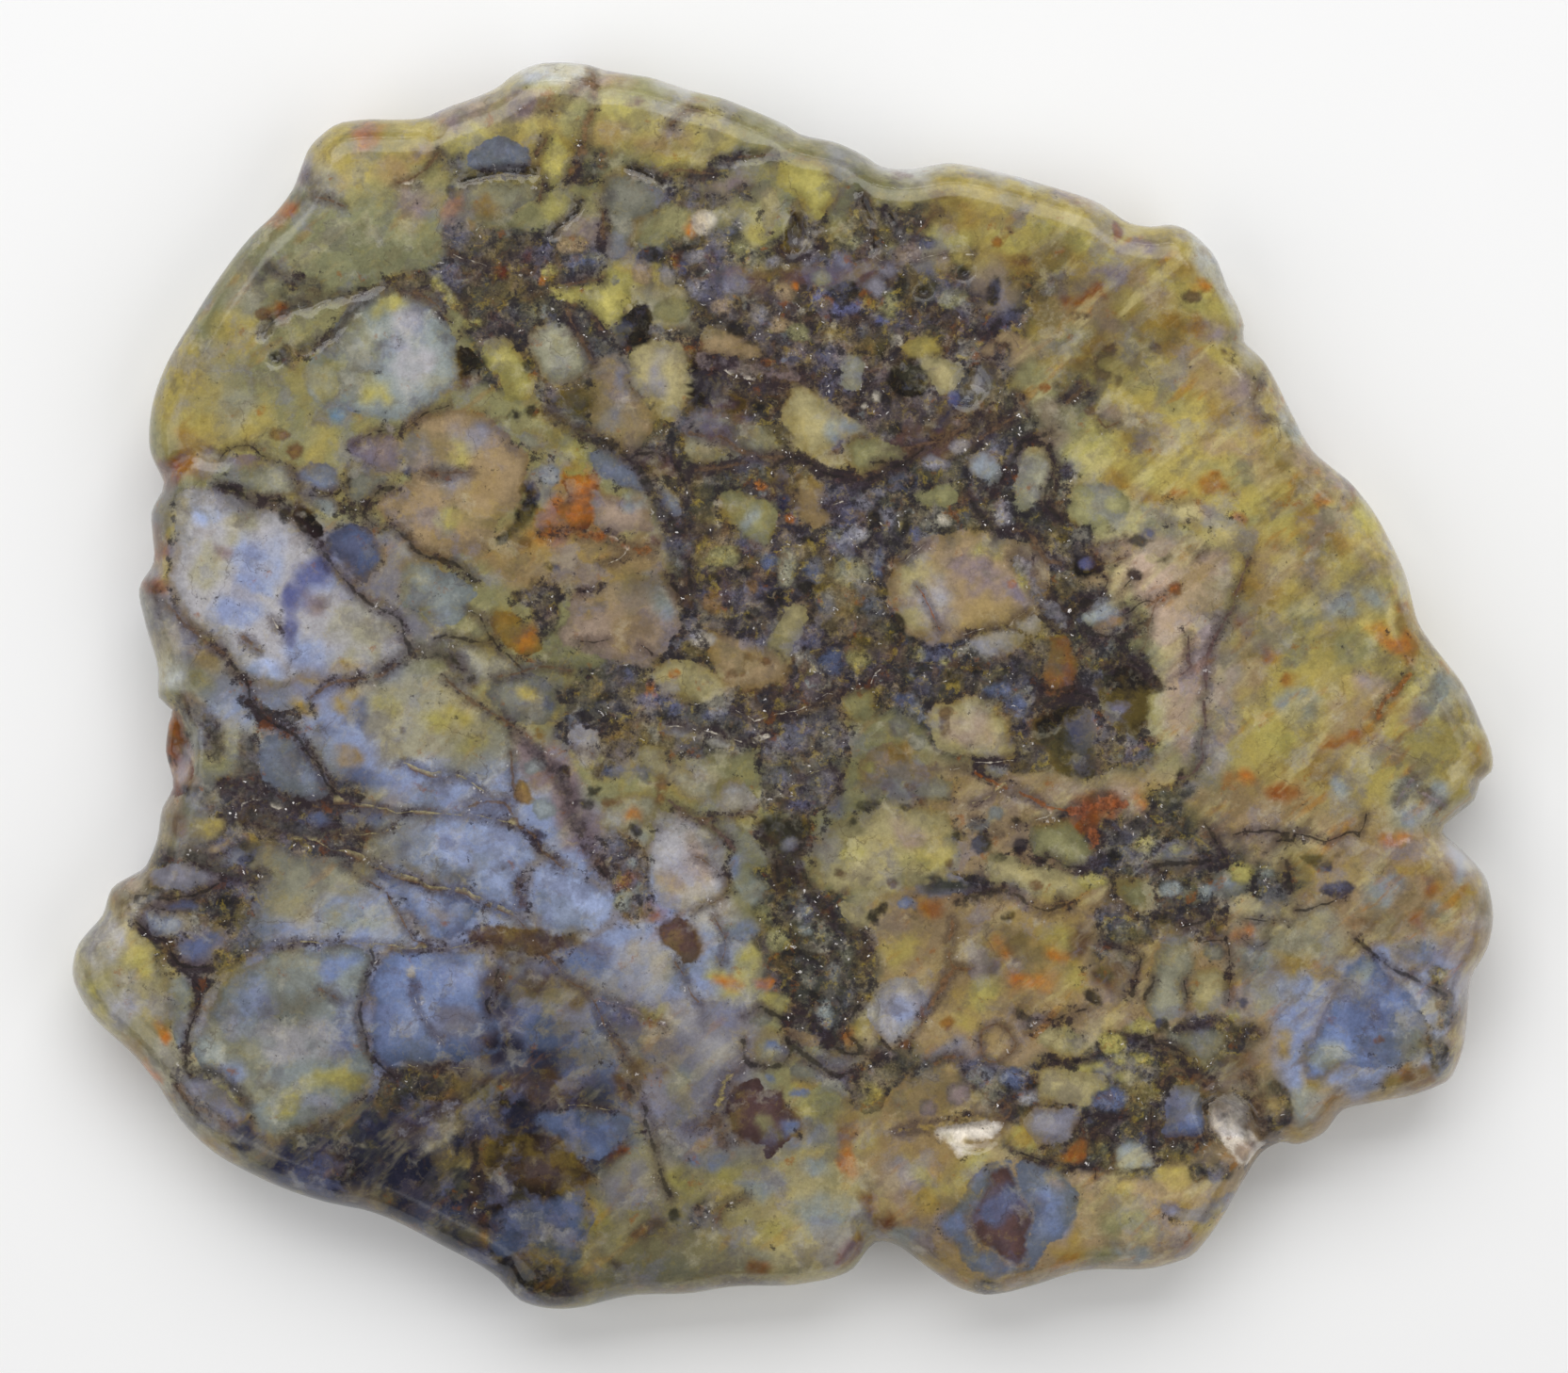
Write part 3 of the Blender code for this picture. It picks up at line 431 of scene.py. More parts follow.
crumbs("black", "18.7,7.5,.45,.3 17.4,8.1,.5,.2 19.9,7.4,.3,.2 14.6,7.5,.3,.4 20.8,-4.8,.35,.4"
       " 18.4,5.6,.4,.2 20.4,6.5,.3,.2")
clasts("rust", "14,2.3 14.9,2.5 15.2,1.6 15.4,.6 15.3,-.2 14.4,-.5 13.8,0 14,1.2")
clouds("umber", "14.6,1,.4,.8")
clasts("black", "16.8,1 17.8,1 18.5,.7 19.7,.3 19.9,-.2 19,-.6 19.2,-2 18.3,-2.9 17.2,-2.2 16.6,-1"
       " 16.3,0", "13.5,-1.6 15,-1.2 16.3,-1.6 16.4,-3 16.5,-4.3 16,-4.9 15,-4.7 14.2,-4.2 13.8,-3.5"
       " 13.2,-2.8 13,-2")
clasts("green matrix", "19.3,-5.4 20.3,-5.2 21.3,-5 21.7,-5.9 20.8,-6.2 19.5,-6")
veins("lilac grey", 0.9, "12.4,6.5 13.6,4.8 14.6,3.2")
veins("black", 0.4, "16,2.8 17,2.6 17.6,2.5", "17.8,2.3 18.4,2.9 19,3.4", "17.7,1.5 17.2,1.1", "18.2,1.2"
      " 19,.7 19.8,.1", "13.6,-.9 14.8,-.5 16.2,-.6", "13.7,-.1 14.4,-.35 15.2,-.1", "14.9,3.3 15.6,4.3"
      " 16.2,4.2")
veins("black", 0.2, "18,3.7 18.7,4.2 19.2,4.4", "15.8,3.9 16.9,5 17,5.6", "17.6,4.8 18.3,5.4", "15.7,1.6"
      " 16.3,2.4")
veins("purple brown", 0.26, "24.4,6.5 23.9,5.2 23.4,4 23.1,3.2 22.7,2.5 22.3,1.5 22.15,.5 22.1,-2.5"
      " 22,-3.2 21.9,-4 21.3,-4.8 20.8,-4.9", "21.4,2.5 21.35,1.3", "20.9,.5 21.4,1")
crumbs("white", "20.8,-6,.5,.12")

# Right of the middle: a large tan clast banded like onyx, a cream drop and a rust-red branch.
clasts("tan", "5.7,6.2 6.4,7 7.5,7.8 9,8 11,7.9 13,7.5 14,6.5 14,5 13.3,4.3 12.8,3.7 12,3.2 11,2.9"
       " 9.8,2.4 8.8,2.2 7.8,2.1 7,2.4 6.2,3.2 5.7,4.2 5.6,5.3")
clouds("cream", "6.9,6,.9,1.2 7.2,3.4,.7,.8")
clouds("purple grey", "9.3,6.6,1,.8 10.5,5.6,1.2,.7,-40 12,4.2,1,.6,-40 13,6.5,.6,1.1")
clouds("lilac white", "8.3,4.5,.8,1.1")
clouds("yellow", "10.7,7.2,.7,.4 12.4,5.6,.4,.9")
veins("rust", 0.12, "7,5.2 7.6,4.2 8.3,2.7")
crumbs("orange", "12.1,5.2,.15")
clasts("lilac white", "9.6,2.2 10.4,2.6 11.2,2.9 12.3,2.9 13,2.6 12.6,2.1 11.9,1.5 11,1.4 10.2,1.8",
       "12,3.3 12.9,3.5 13.4,3.3 13.3,2.7 12.7,2.6")
veins("white", 0.1, "9.4,2.5 10.2,2.8 11,3 12,3.2", "12,3.5 12.7,3.9", "5.9,6.3 6.4,6.5 7,6.9 7.6,7.4")
clasts("cream", "8,-1.2 9,-.7 10.2,-.6 10.7,-1.1 11.3,-1.6 11.8,-2.3 12.1,-3.1 11.9,-3.6 11,-3.9 10,-3.8"
       " 9,-3.8 8.2,-3.2 7.8,-2.3 7.6,-1.7")
clouds("pink tan", "9.9,-2.3,1.2,.9")
crumbs("umber", "8.6,-1.5,.35,.25 8.5,-2.3,.22,.5")
clasts("lilac", "10.2,-4.3 11.7,-4.3 11.5,-4.8 10.6,-4.7")
veins("white", 0.12, "10.1,-4.1 12,-4.05", "9,-4.45 9.6,-4.3")
crumbs("black", "9.6,-4,.5,.2 5.9,3.2,.5,.7 3.6,.6,.5,.35 12.4,.6,.9,.6 10.4,.8,.6,.4 13.4,-.6,.4,.3"
       " 7.2,-.4,.5,.3 8.8,.4,.4,.3")
crumbs("slate blue", "11.3,-.3,.8,.4 12.1,-1.2,.5,.4 12.4,-1.2,.5 6.4,-.7,.5,.3")
crumbs("yellow", "7.1,1.5,.4 8.4,1.3,.15 5.4,1.05,.15 4.7,-4.3,.4 6.6,.4,.3,.2")
areas("pink tan", 0.8, "9.5,-4.8 14,-4.8 18,-5.4 19,-7 15,-7 12,-6.8 9.5,-6.4")
veins("rust", 0.28, "10.1,-4.6 11,-5 11.5,-5.4 12.5,-5.6 14.3,-6.5 15.2,-6.7")
veins("bright rust", 0.6, "15.2,-6.7 16,-6.4 17,-6 17.8,-6.3", "15.7,-7 16.1,-7.6 16.4,-8.1")
clouds("rust", "16.6,-6.4,1.3,.7 15.8,-7.4,.6")
veins("cream", 0.14, "11.6,-5.2 10.6,-5.9 9.9,-6.2")
clasts("pale green", "5.3,-4.9 7.5,-5 9,-5 8.9,-5.9 7.2,-6.1 5.6,-5.9")
crumbs("brown", "5.6,-5.5,.35,.2 6.7,-5.4,.3,.2 7.2,-6.2,.4,.2")
clasts("tan", "4.4,-3.7 5.8,-3.2 7,-4.1 8,-4.2 7.8,-4.8 5.5,-5 4.2,-5.4")
clouds("orange yellow", "6.4,-3.8,.6,.5")
crumbs("olive grey", "6,-2.2,.65 6.9,-2.9,.4,.3 7,-1.2,.4,.3")
clasts("olive", "3.1,-.6 4.4,-.2 4.9,-.9 4.9,-1.5 4.2,-1.9 3.4,-1.5")
clasts("cream", "4.2,-6.7 5.5,-6.2 7,-6.5 8.6,-6.7 9,-7.2 9.3,-8.5 9.5,-9.2 8.8,-9.8 7,-10.6 4,-11"
       " 2.3,-10.5 1.5,-9.3 1.3,-8.5 2,-7.9 2.7,-7.2 3.4,-6.9")
clouds("pink tan", "6.9,-8.1,1.6,.6,-38")
clouds("yellow", "7.5,-9,1.2,.5 3.6,-8.8,.7,.9")
crumbs("umber", "3.3,-8.4,.2 3,-9.9,.35,.2 4.3,-10.2,.3,.1 5.7,-10.4,.3,.15 8.8,-9.4,.18"
       " 3.4,-10.8,.35,.25")
crumbs("black", "4.5,-6.3,.6,.25 6.5,-6.45,.3,.15 3.6,-7.1,.3 9.1,-7.8,.35,.6 10.4,-8.3,.6,.6"
       " 12.5,-8.3,.5,.5 12.3,-7.2,.3 11.3,-9,.4,.25")
veins("white", 0.12, "9.8,-7 11.4,-7.9", "12,-7.5 13,-7.2 14,-6.8")
crumbs("lilac", "10.2,-7.3,.6,.25 11.2,-6.7,.5,.3")
clasts("olive", "12.8,-7.6 14,-7.3 15.2,-7.2 15.9,-8 16.1,-8.8 15.2,-9.6 14.2,-9.1 13.3,-9.1 12.9,-8.4")
veins("black", 0.4, "12.6,-8.9 13.4,-9.3 14.2,-9.1 15,-9.7 15.8,-9.5 16.6,-8.9", "22,-7.3 22.6,-8"
      " 23.1,-8.6 23.3,-9.2", "19.2,-9.6 21.5,-9.3 22.5,-9.2", "26.4,-9.2 26.6,-10.6")
veins("black", 0.26, "23.6,-7.9 25.4,-7.6 26.6,-7.7 27.6,-8 28.4,-8.2 29.4,-8 30.2,-7.8", "26,-8.2"
      " 26.8,-8.1", "30.2,-8 30.5,-6.9", "26.8,-11.9 28,-11.6 29.4,-11.2")
crumbs("black", "17.3,-8.2,.8,.35 17.3,-9.2,.8,.35 18.6,-7.4,.5,.3 20.4,-7,.4,.3 19.6,-8.9,.5,.3"
       " 21.4,-8.2,.4,.3 27.7,-9.2,.8,.3 25.1,-8.8,.4,.2 29,-9,.5,.15")
crumbs("yellow", "19,-8.4,.8,.6 24,-9.9,.8,.5 20.7,-8.7,.4,.3 16.3,-10.3,.7,.5")
crumbs("lilac", "23.2,-10.4,.4 22.2,-10.9,.5,.4 20.4,-10.6,.5,.4 25.4,-10,.5,.4")
crumbs("navy", "29,-10.7,.8,.45 28.4,-9.6,.4,.25")
# These two white crumbs are painted glints, points of light off the polish.
crumbs("white", "23.4,-9.9,.25 5.2,-2.1,.3,.15")
clouds("rust", "27.1,-11.6,.6,.35 33.4,-12.7,.35,.6")
clouds("ochre", "29.5,-9.9,1.4,.6 33.2,-10,1.6,.4 35.6,-10.7,1.4,.6 27,-9.6,.8,.5")
clouds("lilac", "34.7,-11.5,.5,.6 31.5,-10.8,1,.5 29.5,-5.5,.5 35.5,-9,.5,.6")

# Left: a rust-stained rim, a white to deep blue clast, and the long vein that runs down to the right.
clouds("rust", "-32.8,7.2,.7,1.1 -33.2,5.2,.5,.6")
clouds("mustard", "-32.3,6,.7,.6 -30.3,-7,.8,.6 -31.6,8.6,.5,.7")
clouds("orange tan", "-30.2,1.6,.8,.4 -31,-1,.8,.5")
clouds("olive", "-29.8,3,.9,.5 -30.8,.6,1,.5 -29,-3.5,.9,1")
# The rim lilac clouds on the left rim are partly painted sheen on the rounded rim.
clouds("rim lilac and sheen", "-32.3,.2,.8,1 -34.1,5.6,.4,.5")
clasts("lilac white", "-31.5,9.9 -29.6,10.2 -27.3,9.3 -25.5,8.6 -24.2,7 -22.6,5.3 -20.2,3.4 -19.8,2.4"
       " -20.2,1.3 -22.5,.4 -24.8,.3 -28,.2 -29.6,2 -31.8,4.4 -31.9,7")
clouds("yellow white", "-21.8,3,1.6,1 -30,6,1,1.6 -28.6,8.4,1,.8 -22.6,1.4,1.6,.6")
clouds("blue white", "-30.4,9.2,1,.6 -24.2,5.6,.8,.6 -27,.5,1,.5")
clouds("pale blue", "-27.3,6.7,1.6,1.2 -28,5.6,1.2,.4,-20 -25,2,1.2,1 -28.6,3.6,1,.7")
clouds("deep blue", "-24.7,5.7,.8,.6,40 -25.5,4.8,.9,.6,40 -25.9,3.2,.35,.9 -26.2,4.2,.5")
clouds("purple grey", "-24.5,4.2,.6,.5 -29.4,7.2,.5,.3")
clouds("ochre", "-23.7,.7,1.8,.3 -22.8,-.6,.8,.3 -25,-1,.8,.3")
clouds("lilac white", "-27.6,2.7,.6,.5 -31,7.4,.5,1")
veins("white", 0.12, "-26.8,3.5 -26.5,2.9", "-28.4,-6.3 -27.5,-6.1 -26.4,-6.4")
veins("umber", 0.3, "-33.3,5.3 -32.5,4.4 -31.2,3.2 -30.4,2.4 -29.3,1.7", "-28.2,2.6 -27.3,1.7", "-20.2,1"
      " -21,.5 -22.5,.2 -24,-.1 -24.6,-.7")
veins("black", 0.32, "-29.3,1.7 -28.6,.9 -28.2,0 -27.9,-.9 -27.2,-1.7 -26.3,-2.1 -25.5,-2.8 -24.9,-3.6"
      " -24.2,-4.3 -24,-5 -23.3,-5.8")
clasts("slate", "-28.1,-.9 -27.2,-1 -26.3,-1.3 -25.2,-1.2 -24.1,-1.2 -25.3,-1.9 -26,-2.2 -26.9,-2.1"
       " -27.8,-1.4")
veins("black", 0.6, "-21,.9 -20,1.2 -19.3,1.7 -18,1.6 -17.1,1.4 -16.7,.7 -16.4,.3")
# The bite in the left rim has a rusty, crusted floor.
clasts("red rust", "-33.2,-1.6 -32,-1.3 -31.3,-2 -31.2,-3.4 -31,-5 -31.6,-5.9 -33,-5.6 -33.4,-3.6")
clouds("rust", "-32.3,-2.5,.6 -31.9,-3.5,.5,.6")
clouds("pink tan", "-31,-3.7,.4 -31.3,-4.6,.5,.9")
crumbs("black", "-31.3,-2.6,.3 -31.4,-5.6,.3 -32.4,-4.2,.3,.4")
veins("dark moss", 0.7, "-31.3,-1 -30.6,-1.5 -29.9,-2.3 -29.8,-3.6", "-27.9,-2.9 -28,-4 -27.8,-5.2")
clasts("grey blue", "-27.4,-2.9 -26.3,-2.4 -25.4,-3.2 -24.4,-4.2 -23.6,-5.8 -25,-6 -26.2,-5.4 -27.3,-5")
veins("dark moss", 0.7, "-29.4,-5.3 -28,-5.7 -25.8,-6.1", "-29,-6.8 -27.2,-7 -26,-7.5 -24.8,-7.8"
      " -23.5,-7.6")
clouds("black", "-28.4,-7.2,1,.4 -28,-9,.8,.3 -30.6,-5.5,1,.3")
clouds("red rust", "-32,-7.7,.7,.5")
clouds("slate blue", "-22,-4.9,1.8,.7 -24.8,-6.7,1.2,.5 -21.8,-7,1,.4 -24.6,-2.4,1,.5 -22,-1.5,1,.5")
clouds("orange tan", "-22.6,-3.7,.6,.3 -20.7,-6.8,.5,.25 -29.6,-8.2,.5,.3")
areas("yellow white", 1.2, "-22,.2 -19,.6 -17,0 -15,-2 -14,-4 -17,-4.4 -21,-3.6 -22,-2")
clouds("yellow", "-18,-1.6,1.2,.7 -16.2,-3.2,.9,.6 -20.6,-1.2,.7,.5")
crumbs("umber", "-19.95,-2.4,.14 -20.4,-4.3,.3,.15")
veins("dark moss", 0.3, "-32.4,-8.6 -31.3,-9 -29.8,-9.8")
veins("cream", 0.13, "-25.6,-8.1 -24.4,-8.3 -23.4,-8.7 -22.3,-8.9 -20.7,-9.7 -20,-9.9 -18.3,-10.5"
      " -16.8,-10.8 -15.2,-11.4 -14.2,-11.9", "-25.6,-6.2 -23.4,-6 -22,-6.2 -20.5,-6.6 -18.5,-6.7"
      " -16.7,-6.9 -15.5,-6.8 -13.8,-7.4", "-24,-7.7 -21.3,-7.9 -20.4,-7.5", "-20,-4.1 -18.6,-4.4"
      " -17.2,-4.7 -15.6,-5.6")
veins("umber", 0.14, "-23,-8.9 -20.2,-10.1 -17,-11 -14.3,-12.1 -13.4,-12.8 -12.5,-14.2 -11,-15.6"
      " -10.2,-16.3 -9.2,-18 -7.6,-20.3", "-24.6,-6.4 -22,-6.4 -18.6,-6.95", "-19.6,-4.4 -17.2,-4.95")

# Left of the middle: pale bits in a thin dark net.
clasts("lilac", "-19.9,6.3 -19,6.6 -17.6,6 -16.5,5.3 -15.9,4.9 -16.4,4.2 -17,3.4 -18.2,3 -19,3.8 -19.8,4")
clouds("olive", "-18.7,3.5,.7,.4")
clasts("brown matrix", "-14.2,4.9 -13,5.3 -12,5.3 -11.4,4.6 -11.8,3.6 -12.2,2.6 -12.7,2.2 -12.9,3.2"
       " -13.3,3.9 -14.1,4.2")
veins("black", 0.32, "-16.5,4 -15.8,3.4 -15.5,2.7 -15.1,2 -14.5,1.6 -13.8,1", "-18.2,2.4 -17.3,2.6"
      " -15.7,2.2")
clasts("orange yellow", "-15.3,3.5 -14.4,3.8 -13.4,3.3 -12.8,2.9 -12.6,2 -13.4,1.6 -14.6,1.9")
clouds("orange", "-13.4,2.4,.6,.5")
clasts("yellow white", "-17,1.9 -15.6,2 -14.8,1.6 -13.9,1 -14.6,.5 -15.8,0 -16.4,.3")
veins("umber", 0.25, "-17.6,.3 -16.9,-.4 -16.3,-.9 -15,-1.6 -13.8,-2.3", "-15,.3 -13,.8 -11.2,.8")
clasts("olive grey", "-15.4,-.2 -14.6,.3 -13.2,.5 -12.4,.2 -11.9,-.5 -11.4,-1.2 -11.8,-1.9 -13.8,-2"
       " -15.4,-.9")
clouds("mustard", "-13.5,-.5,.7,.4 -11.9,-1.5,.5,.3")
clasts("pink tan", "-11.2,4.7 -9.2,5.2 -8,5.5 -6.5,5.5 -5.8,5 -5.3,3.3 -5.8,2.4 -6.4,1 -7.8,1.1"
       " -10.5,1.7 -11.6,2.4 -11.2,3.6")
clouds("orange tan", "-8,3,1.4,1 -9.8,4.3,.9,.5")
clouds("lilac", "-6.6,4.3,.6,.9")
veins("black", 0.2, "-10.5,4.9 -9.7,5.2", "-10.4,2.2 -9.2,2.4", "-7.4,2.1 -6.8,1.7")
veins("black", 0.4, "-5,6.6 -4.9,5.6 -4.8,5.1", "-6.1,5.6 -5.6,5 -5.2,4.5")
crumbs("black", "-4.8,3.9,.4,.5 -6.5,1.3,.5,.3 -12,6.2,.5,.2 -3.7,5.4,.4,.3 -2.6,3.4,.3 -12.6,1.2,.3,.2")
crumbs("white", "-5.3,5.2,.14 -6.1,-2.2,.14 -5.2,6.3,.1 -19.6,2.3,.12")
clasts("cream", "-6.7,.9 -5.8,1.3 -4.7,1.3 -3.8,.8 -3.2,.5 -3.2,-.4 -3.9,-1 -4.8,-1 -6,-.6 -7,.6")
crumbs("orange", "-5.65,.5,.3,.2 -6.95,-.15,.25")
crumbs("lilac white", "-4.3,2.3,.7,.5")
clasts("slate", "-10.8,-.6 -9.4,.2 -8.2,.3 -7.1,-.1 -5.8,-.6 -4.4,-.9 -2,-.8 -2,-3 -3.4,-2.6 -5,-2.1"
       " -7.2,-1.9 -8.4,-2.2 -10.9,-1.5")
crumbs("deep blue", "-3.6,-1.5,.7,.3 -7.2,-.9,.7,.4 -5.6,-1.3,.3")
crumbs("black", "-9.2,-.6,.6,.3 -2.8,-2.2,.4,.3 -6.3,-1.6,.5,.2 -10.2,-1,.3")
veins("white", 0.12, "-6.1,-2.2 -5,-2.2 -3.6,-2.5 -2.3,-2.8", "-2.4,-1.4 -1.6,-1.8", "-.7,-2.8 -1.5,-3.1")
clasts("lilac white", "-6.1,-2.1 -5,-2.3 -3.8,-2.7 -2.4,-2.9 -3,-3.3 -4.5,-3.1 -5.8,-2.8", "-11,-2.3"
       " -10,-2.3 -9.4,-3 -9.6,-3.7 -10.2,-4.2 -10.9,-3.8 -11.3,-3")
clasts("matrix", "-9.4,-3 -8.4,-2.8 -7.8,-3.3 -8.4,-4.3 -9,-4.8 -9.9,-4.9 -9.4,-3.8")
clasts("dark moss", "-5.6,-3.1 -4.6,-2.9 -3.4,-3.4 -3.8,-4 -5.2,-3.9")
clasts("yellow white", "-8,-3.8 -7,-3.3 -5.5,-4.2 -4.4,-4.6 -3.2,-5.2 -3.6,-6 -4.8,-6 -6,-5.2 -7,-4.6",
       "-9,-6.4 -7.8,-5.8 -7,-5.7 -6.6,-6.4 -7.2,-7.2 -8.6,-7.6 -9.4,-7.2")
crumbs("slate blue", "-8.8,-4.6,.6,.4 -7.4,-4.6,.4,.5 -12.2,-1,.4")
crumbs("brown", "-6.4,-5.3,.4,.7 -6.5,-6,.35 -8.9,-6.2,.5,.18")
clasts("lilac white", "-6.8,-7 -5.6,-6.6 -4.5,-7.3 -3.4,-8 -2.9,-8.8 -3,-11 -4,-11.4 -5.5,-11.8 -7,-11.5"
       " -7.5,-10 -6.6,-8", "-3.5,-5.5 -2,-5.2 -1.3,-6 -1.2,-6.8 -3,-6.9")
clouds("pink tan", "-4.6,-9,.8,1.1 -6,-10.6,.6")
veins("purple brown", 0.32, "-6,-6.1 -5,-6.8 -4.2,-7.3 -3.4,-7.6 -2.6,-8.6")
veins("umber", 0.14, "-5,-7 -3,-6.9 -1.5,-6.7", "-4.6,-9 -3.8,-9.6 -3,-10.2 -2.8,-10.8 -3.3,-11.3"
      " -4.8,-11.8", "-11,-3.2 -10,-3.7")
areas("purple grey", 0.8, "-14,-2.4 -12,-3 -10.6,-5.2 -9.6,-7 -9,-9.6 -10.4,-9.4 -12,-7 -13.6,-4.4")
veins("matrix", 0.6, "-14,-2.4 -12.6,-4 -11.3,-5.4 -11.2,-6.5 -10.3,-8.4 -9.8,-9.4")
crumbs("orange yellow", "-13.6,-5.6,.4,.7 -12.7,-2.7,.4")
crumbs("lilac", "-13,-4.3,.6,.5 -12.4,-6.6,.8,.7 -12.8,-3.4,.3,.2")
veins("umber", 0.26, "-16.5,-6.5 -15.6,-6.1 -14.6,-6.2 -14,-7", "-14.2,-3.5 -14,-6", "-13.9,-7.4 -13,-8"
      " -12.6,-8.7 -11.5,-9.6")
crumbs("black", "-12.9,-7.9,.45,.25 -10.5,-6.3,.5,.3 -11.6,-4.6,.3 -9.9,-5.4,.3,.2 -7.6,-7.7,.3")
clouds("orange", "-7.9,-6.8,.3")

# Middle: the darkest matrix, with a dark slate oval in it and a column of crumbs that runs down.
crumbs("pale green", ".3,6,.6,1 3.6,5.9,1,.85")
crumbs("slate blue", "1.7,6,.5,.7 5,6.4,.35,.9 4.7,4,.45,.8 2.5,1.1,.75,.7 -.8,6.5,.4 2.2,4.2,.5,.6")
crumbs("olive", "-3,6.7,.9,.65 3.9,1.3,.7,.45 2.8,7.9,.4,.3")
crumbs("orange yellow", "-3.6,4.2,.6,.7 -1.6,5.2,.3,.5")
crumbs("black", "1.5,5,.6,.4 -.4,4.6,.5,.6 5.8,2.2,.7,.5 -2,6,.4,.3 2.4,3,.6,.4 4.3,2.5,.5,.4"
       " -1.6,3.8,.5,.4 1.2,7.6,.6,.3 4.4,7.3,.5,.2 5.2,4.9,.3,.4")
# The first white crumb here, at 5.7,6.1, is a painted glint.
crumbs("white", "5.7,6.1,.22 .9,1.8,.18,.3 1,1.1,.28 7,1.6,.2 1.5,-1.3,.1")
clasts("cream", ".2,3.9 1.2,4.1 1.2,3 1,2.4 .5,1.9 .1,1 -.6,1.1 -.8,2.2 -.3,3.2")
clasts("tan", "-4,2.8 -2.5,2.2 -.5,2 .2,.8 -.3,.1 -1.8,-.2 -3.6,.9")
crumbs("brown", "-1.7,1.4,.4,.25 -.8,1.3,.25 -2.4,.7,.4,.2")
clasts("slate", "-1,-3 -.2,-2 .8,-1.5 2,-1 3,-.7 3.2,-1.8 3.3,-3 3.6,-3.9 3.2,-5 2.8,-6 2.4,-6.4 1,-6.8"
       " -.8,-6.8 -1.2,-6 -1.1,-5 -1.3,-4")
clouds("slate", "2.6,-2.9,.8,.9 .4,-4.6,1,.8 1.4,-1.8,1,.4")
clouds("brown matrix", "1.5,-3.5,.9,.5 -.3,-5.9,.7,.5")
clouds("deep blue", "2.5,-5.5,.6,.9 .9,-6.2,.7,.3")
veins("cream", 0.1, "1,-5 1.6,-4.6 2.2,-4.3 2.6,-4.4 3.2,-5.4")
veins("white", 0.13, "5.2,.7 4.7,.4 4.4,-.1 3,-.5 2.4,-.5 1.9,-.9 1.2,-1.2 0,-1.5 -1.5,-1.9", "-2.2,-2.9"
      " -.6,-2.6")
clasts("black", "-1.2,-6.8 -.4,-6.9 1,-6.9 1.6,-7.4 1.4,-8.2 .9,-9.4 1,-10.6 .2,-11 -.5,-10.2 -.4,-8.6"
       " -1.2,-7.8")
crumbs("lilac grey", ".3,-8.4,.5,.4 .9,-9.4,.3 -.2,-7.5,.3,.2")
veins("black", 0.62, "1.2,-8.3 .3,-9.2 1,-10 1.8,-11.3 2.8,-12.4 3.4,-13 4.3,-13.4 4.2,-14.1")
veins("black", 0.4, "-1.2,-8 -.5,-8.6 -.2,-10.6")
clasts("green matrix", "0,-11 1,-11 2.4,-11.8 3,-12.8 4.3,-13.4 4,-15 4.2,-16 3.6,-17 3.3,-18 2.6,-18.5"
       " 1.5,-17.6 .8,-16.5 .7,-15.3 -.2,-14.6 -.4,-14 .3,-13 -.2,-12")
crumbs("lilac", "1.3,-11.6,.45,.6 2.2,-17.3,.45,.75 1.1,-12.9,.4,.3 2.7,-15,.4,.5")
crumbs("white", "3.1,-13.6,.3,.25 1.3,-11.4,.2 2.2,-13.9,.12 .8,-12.2,.12 -5.15,-15.7,.1")
crumbs("olive grey", "1.4,-15.4,.5 2.4,-12.9,.4,.3 3.3,-14.4,.3,.4 -1.2,-17.6,.75,.35")
crumbs("black", ".5,-14.2,.9,.25 1.9,-14.4,.5,.3 3.2,-16.2,.35,.5 1.7,-16.4,.3,.5 2.6,-13.6,.3"
       " .6,-11.9,.25,.4")
crumbs("rust", "3.4,-15.2,.3 7.7,-18.7,.3 6.4,-18.9,.25 8.6,-17.7,.4,.3")
crumbs("olive", "-1,-12,.5 -.3,-13.4,.6,.8")
clouds("yellow", "-2.3,-16,1,1 -1.9,-14.4,.4,1.2 -.6,-16.7,1,.5 -3.2,-15,.6,.5")
clouds("orange", "-1.2,-15.6,.6,.25 -2.8,-15.6,.4")
clouds("blue", "-2.2,-9.6,.6 -2.2,-13,.8,.6")
clouds("lilac", "-1.5,-11,1,.8 -5.5,-20.8,.8")
clasts("purple brown", "-6.5,-12.2 -5.3,-12.2 -4.4,-13 -4.3,-13.8 -4.8,-14.5 -5.5,-13.9 -6.4,-13.4")
veins("black", 0.4, "-2.1,-17.3 -1.2,-17 -.3,-17.4 1.4,-17.5 2.7,-18.7 3.3,-19.3 5,-19.4", "-2.1,-18.6"
      " -2,-19.5 -1.6,-20 -.2,-20 .3,-19.3 .2,-18.5", ".6,-19 1.2,-19.6 3,-20.4 3.8,-20.2", "4,-16.8"
      " 3.4,-18.2 4.2,-19")
clasts("yellow white", "-1.4,-18.5 -.4,-18.3 .2,-18.5 .3,-19.2 0,-19.8 -1.4,-19.9")
clouds("blue", "-.6,-19.6,.7,.3")
clasts("orange tan", "0,-18 .8,-18.1 1.9,-18.6 1.7,-18.9 .9,-18.7")
clasts("olive grey", "1.9,-19.6 2.5,-19.1 3.2,-19.4 3.5,-19.9 2.6,-20.1", ".2,-20.2 .9,-19.8 1.8,-20"
       " 2.2,-20.6 1.6,-20.9 .5,-20.8")
crumbs("blue", ".8,-21.5,.55,.2 -.6,-20.7,.35,.3")
clouds("yellow", "1.2,-21,.6,.25 1.4,-22.2,.6,.4 3.2,-22.8,.5,.4")
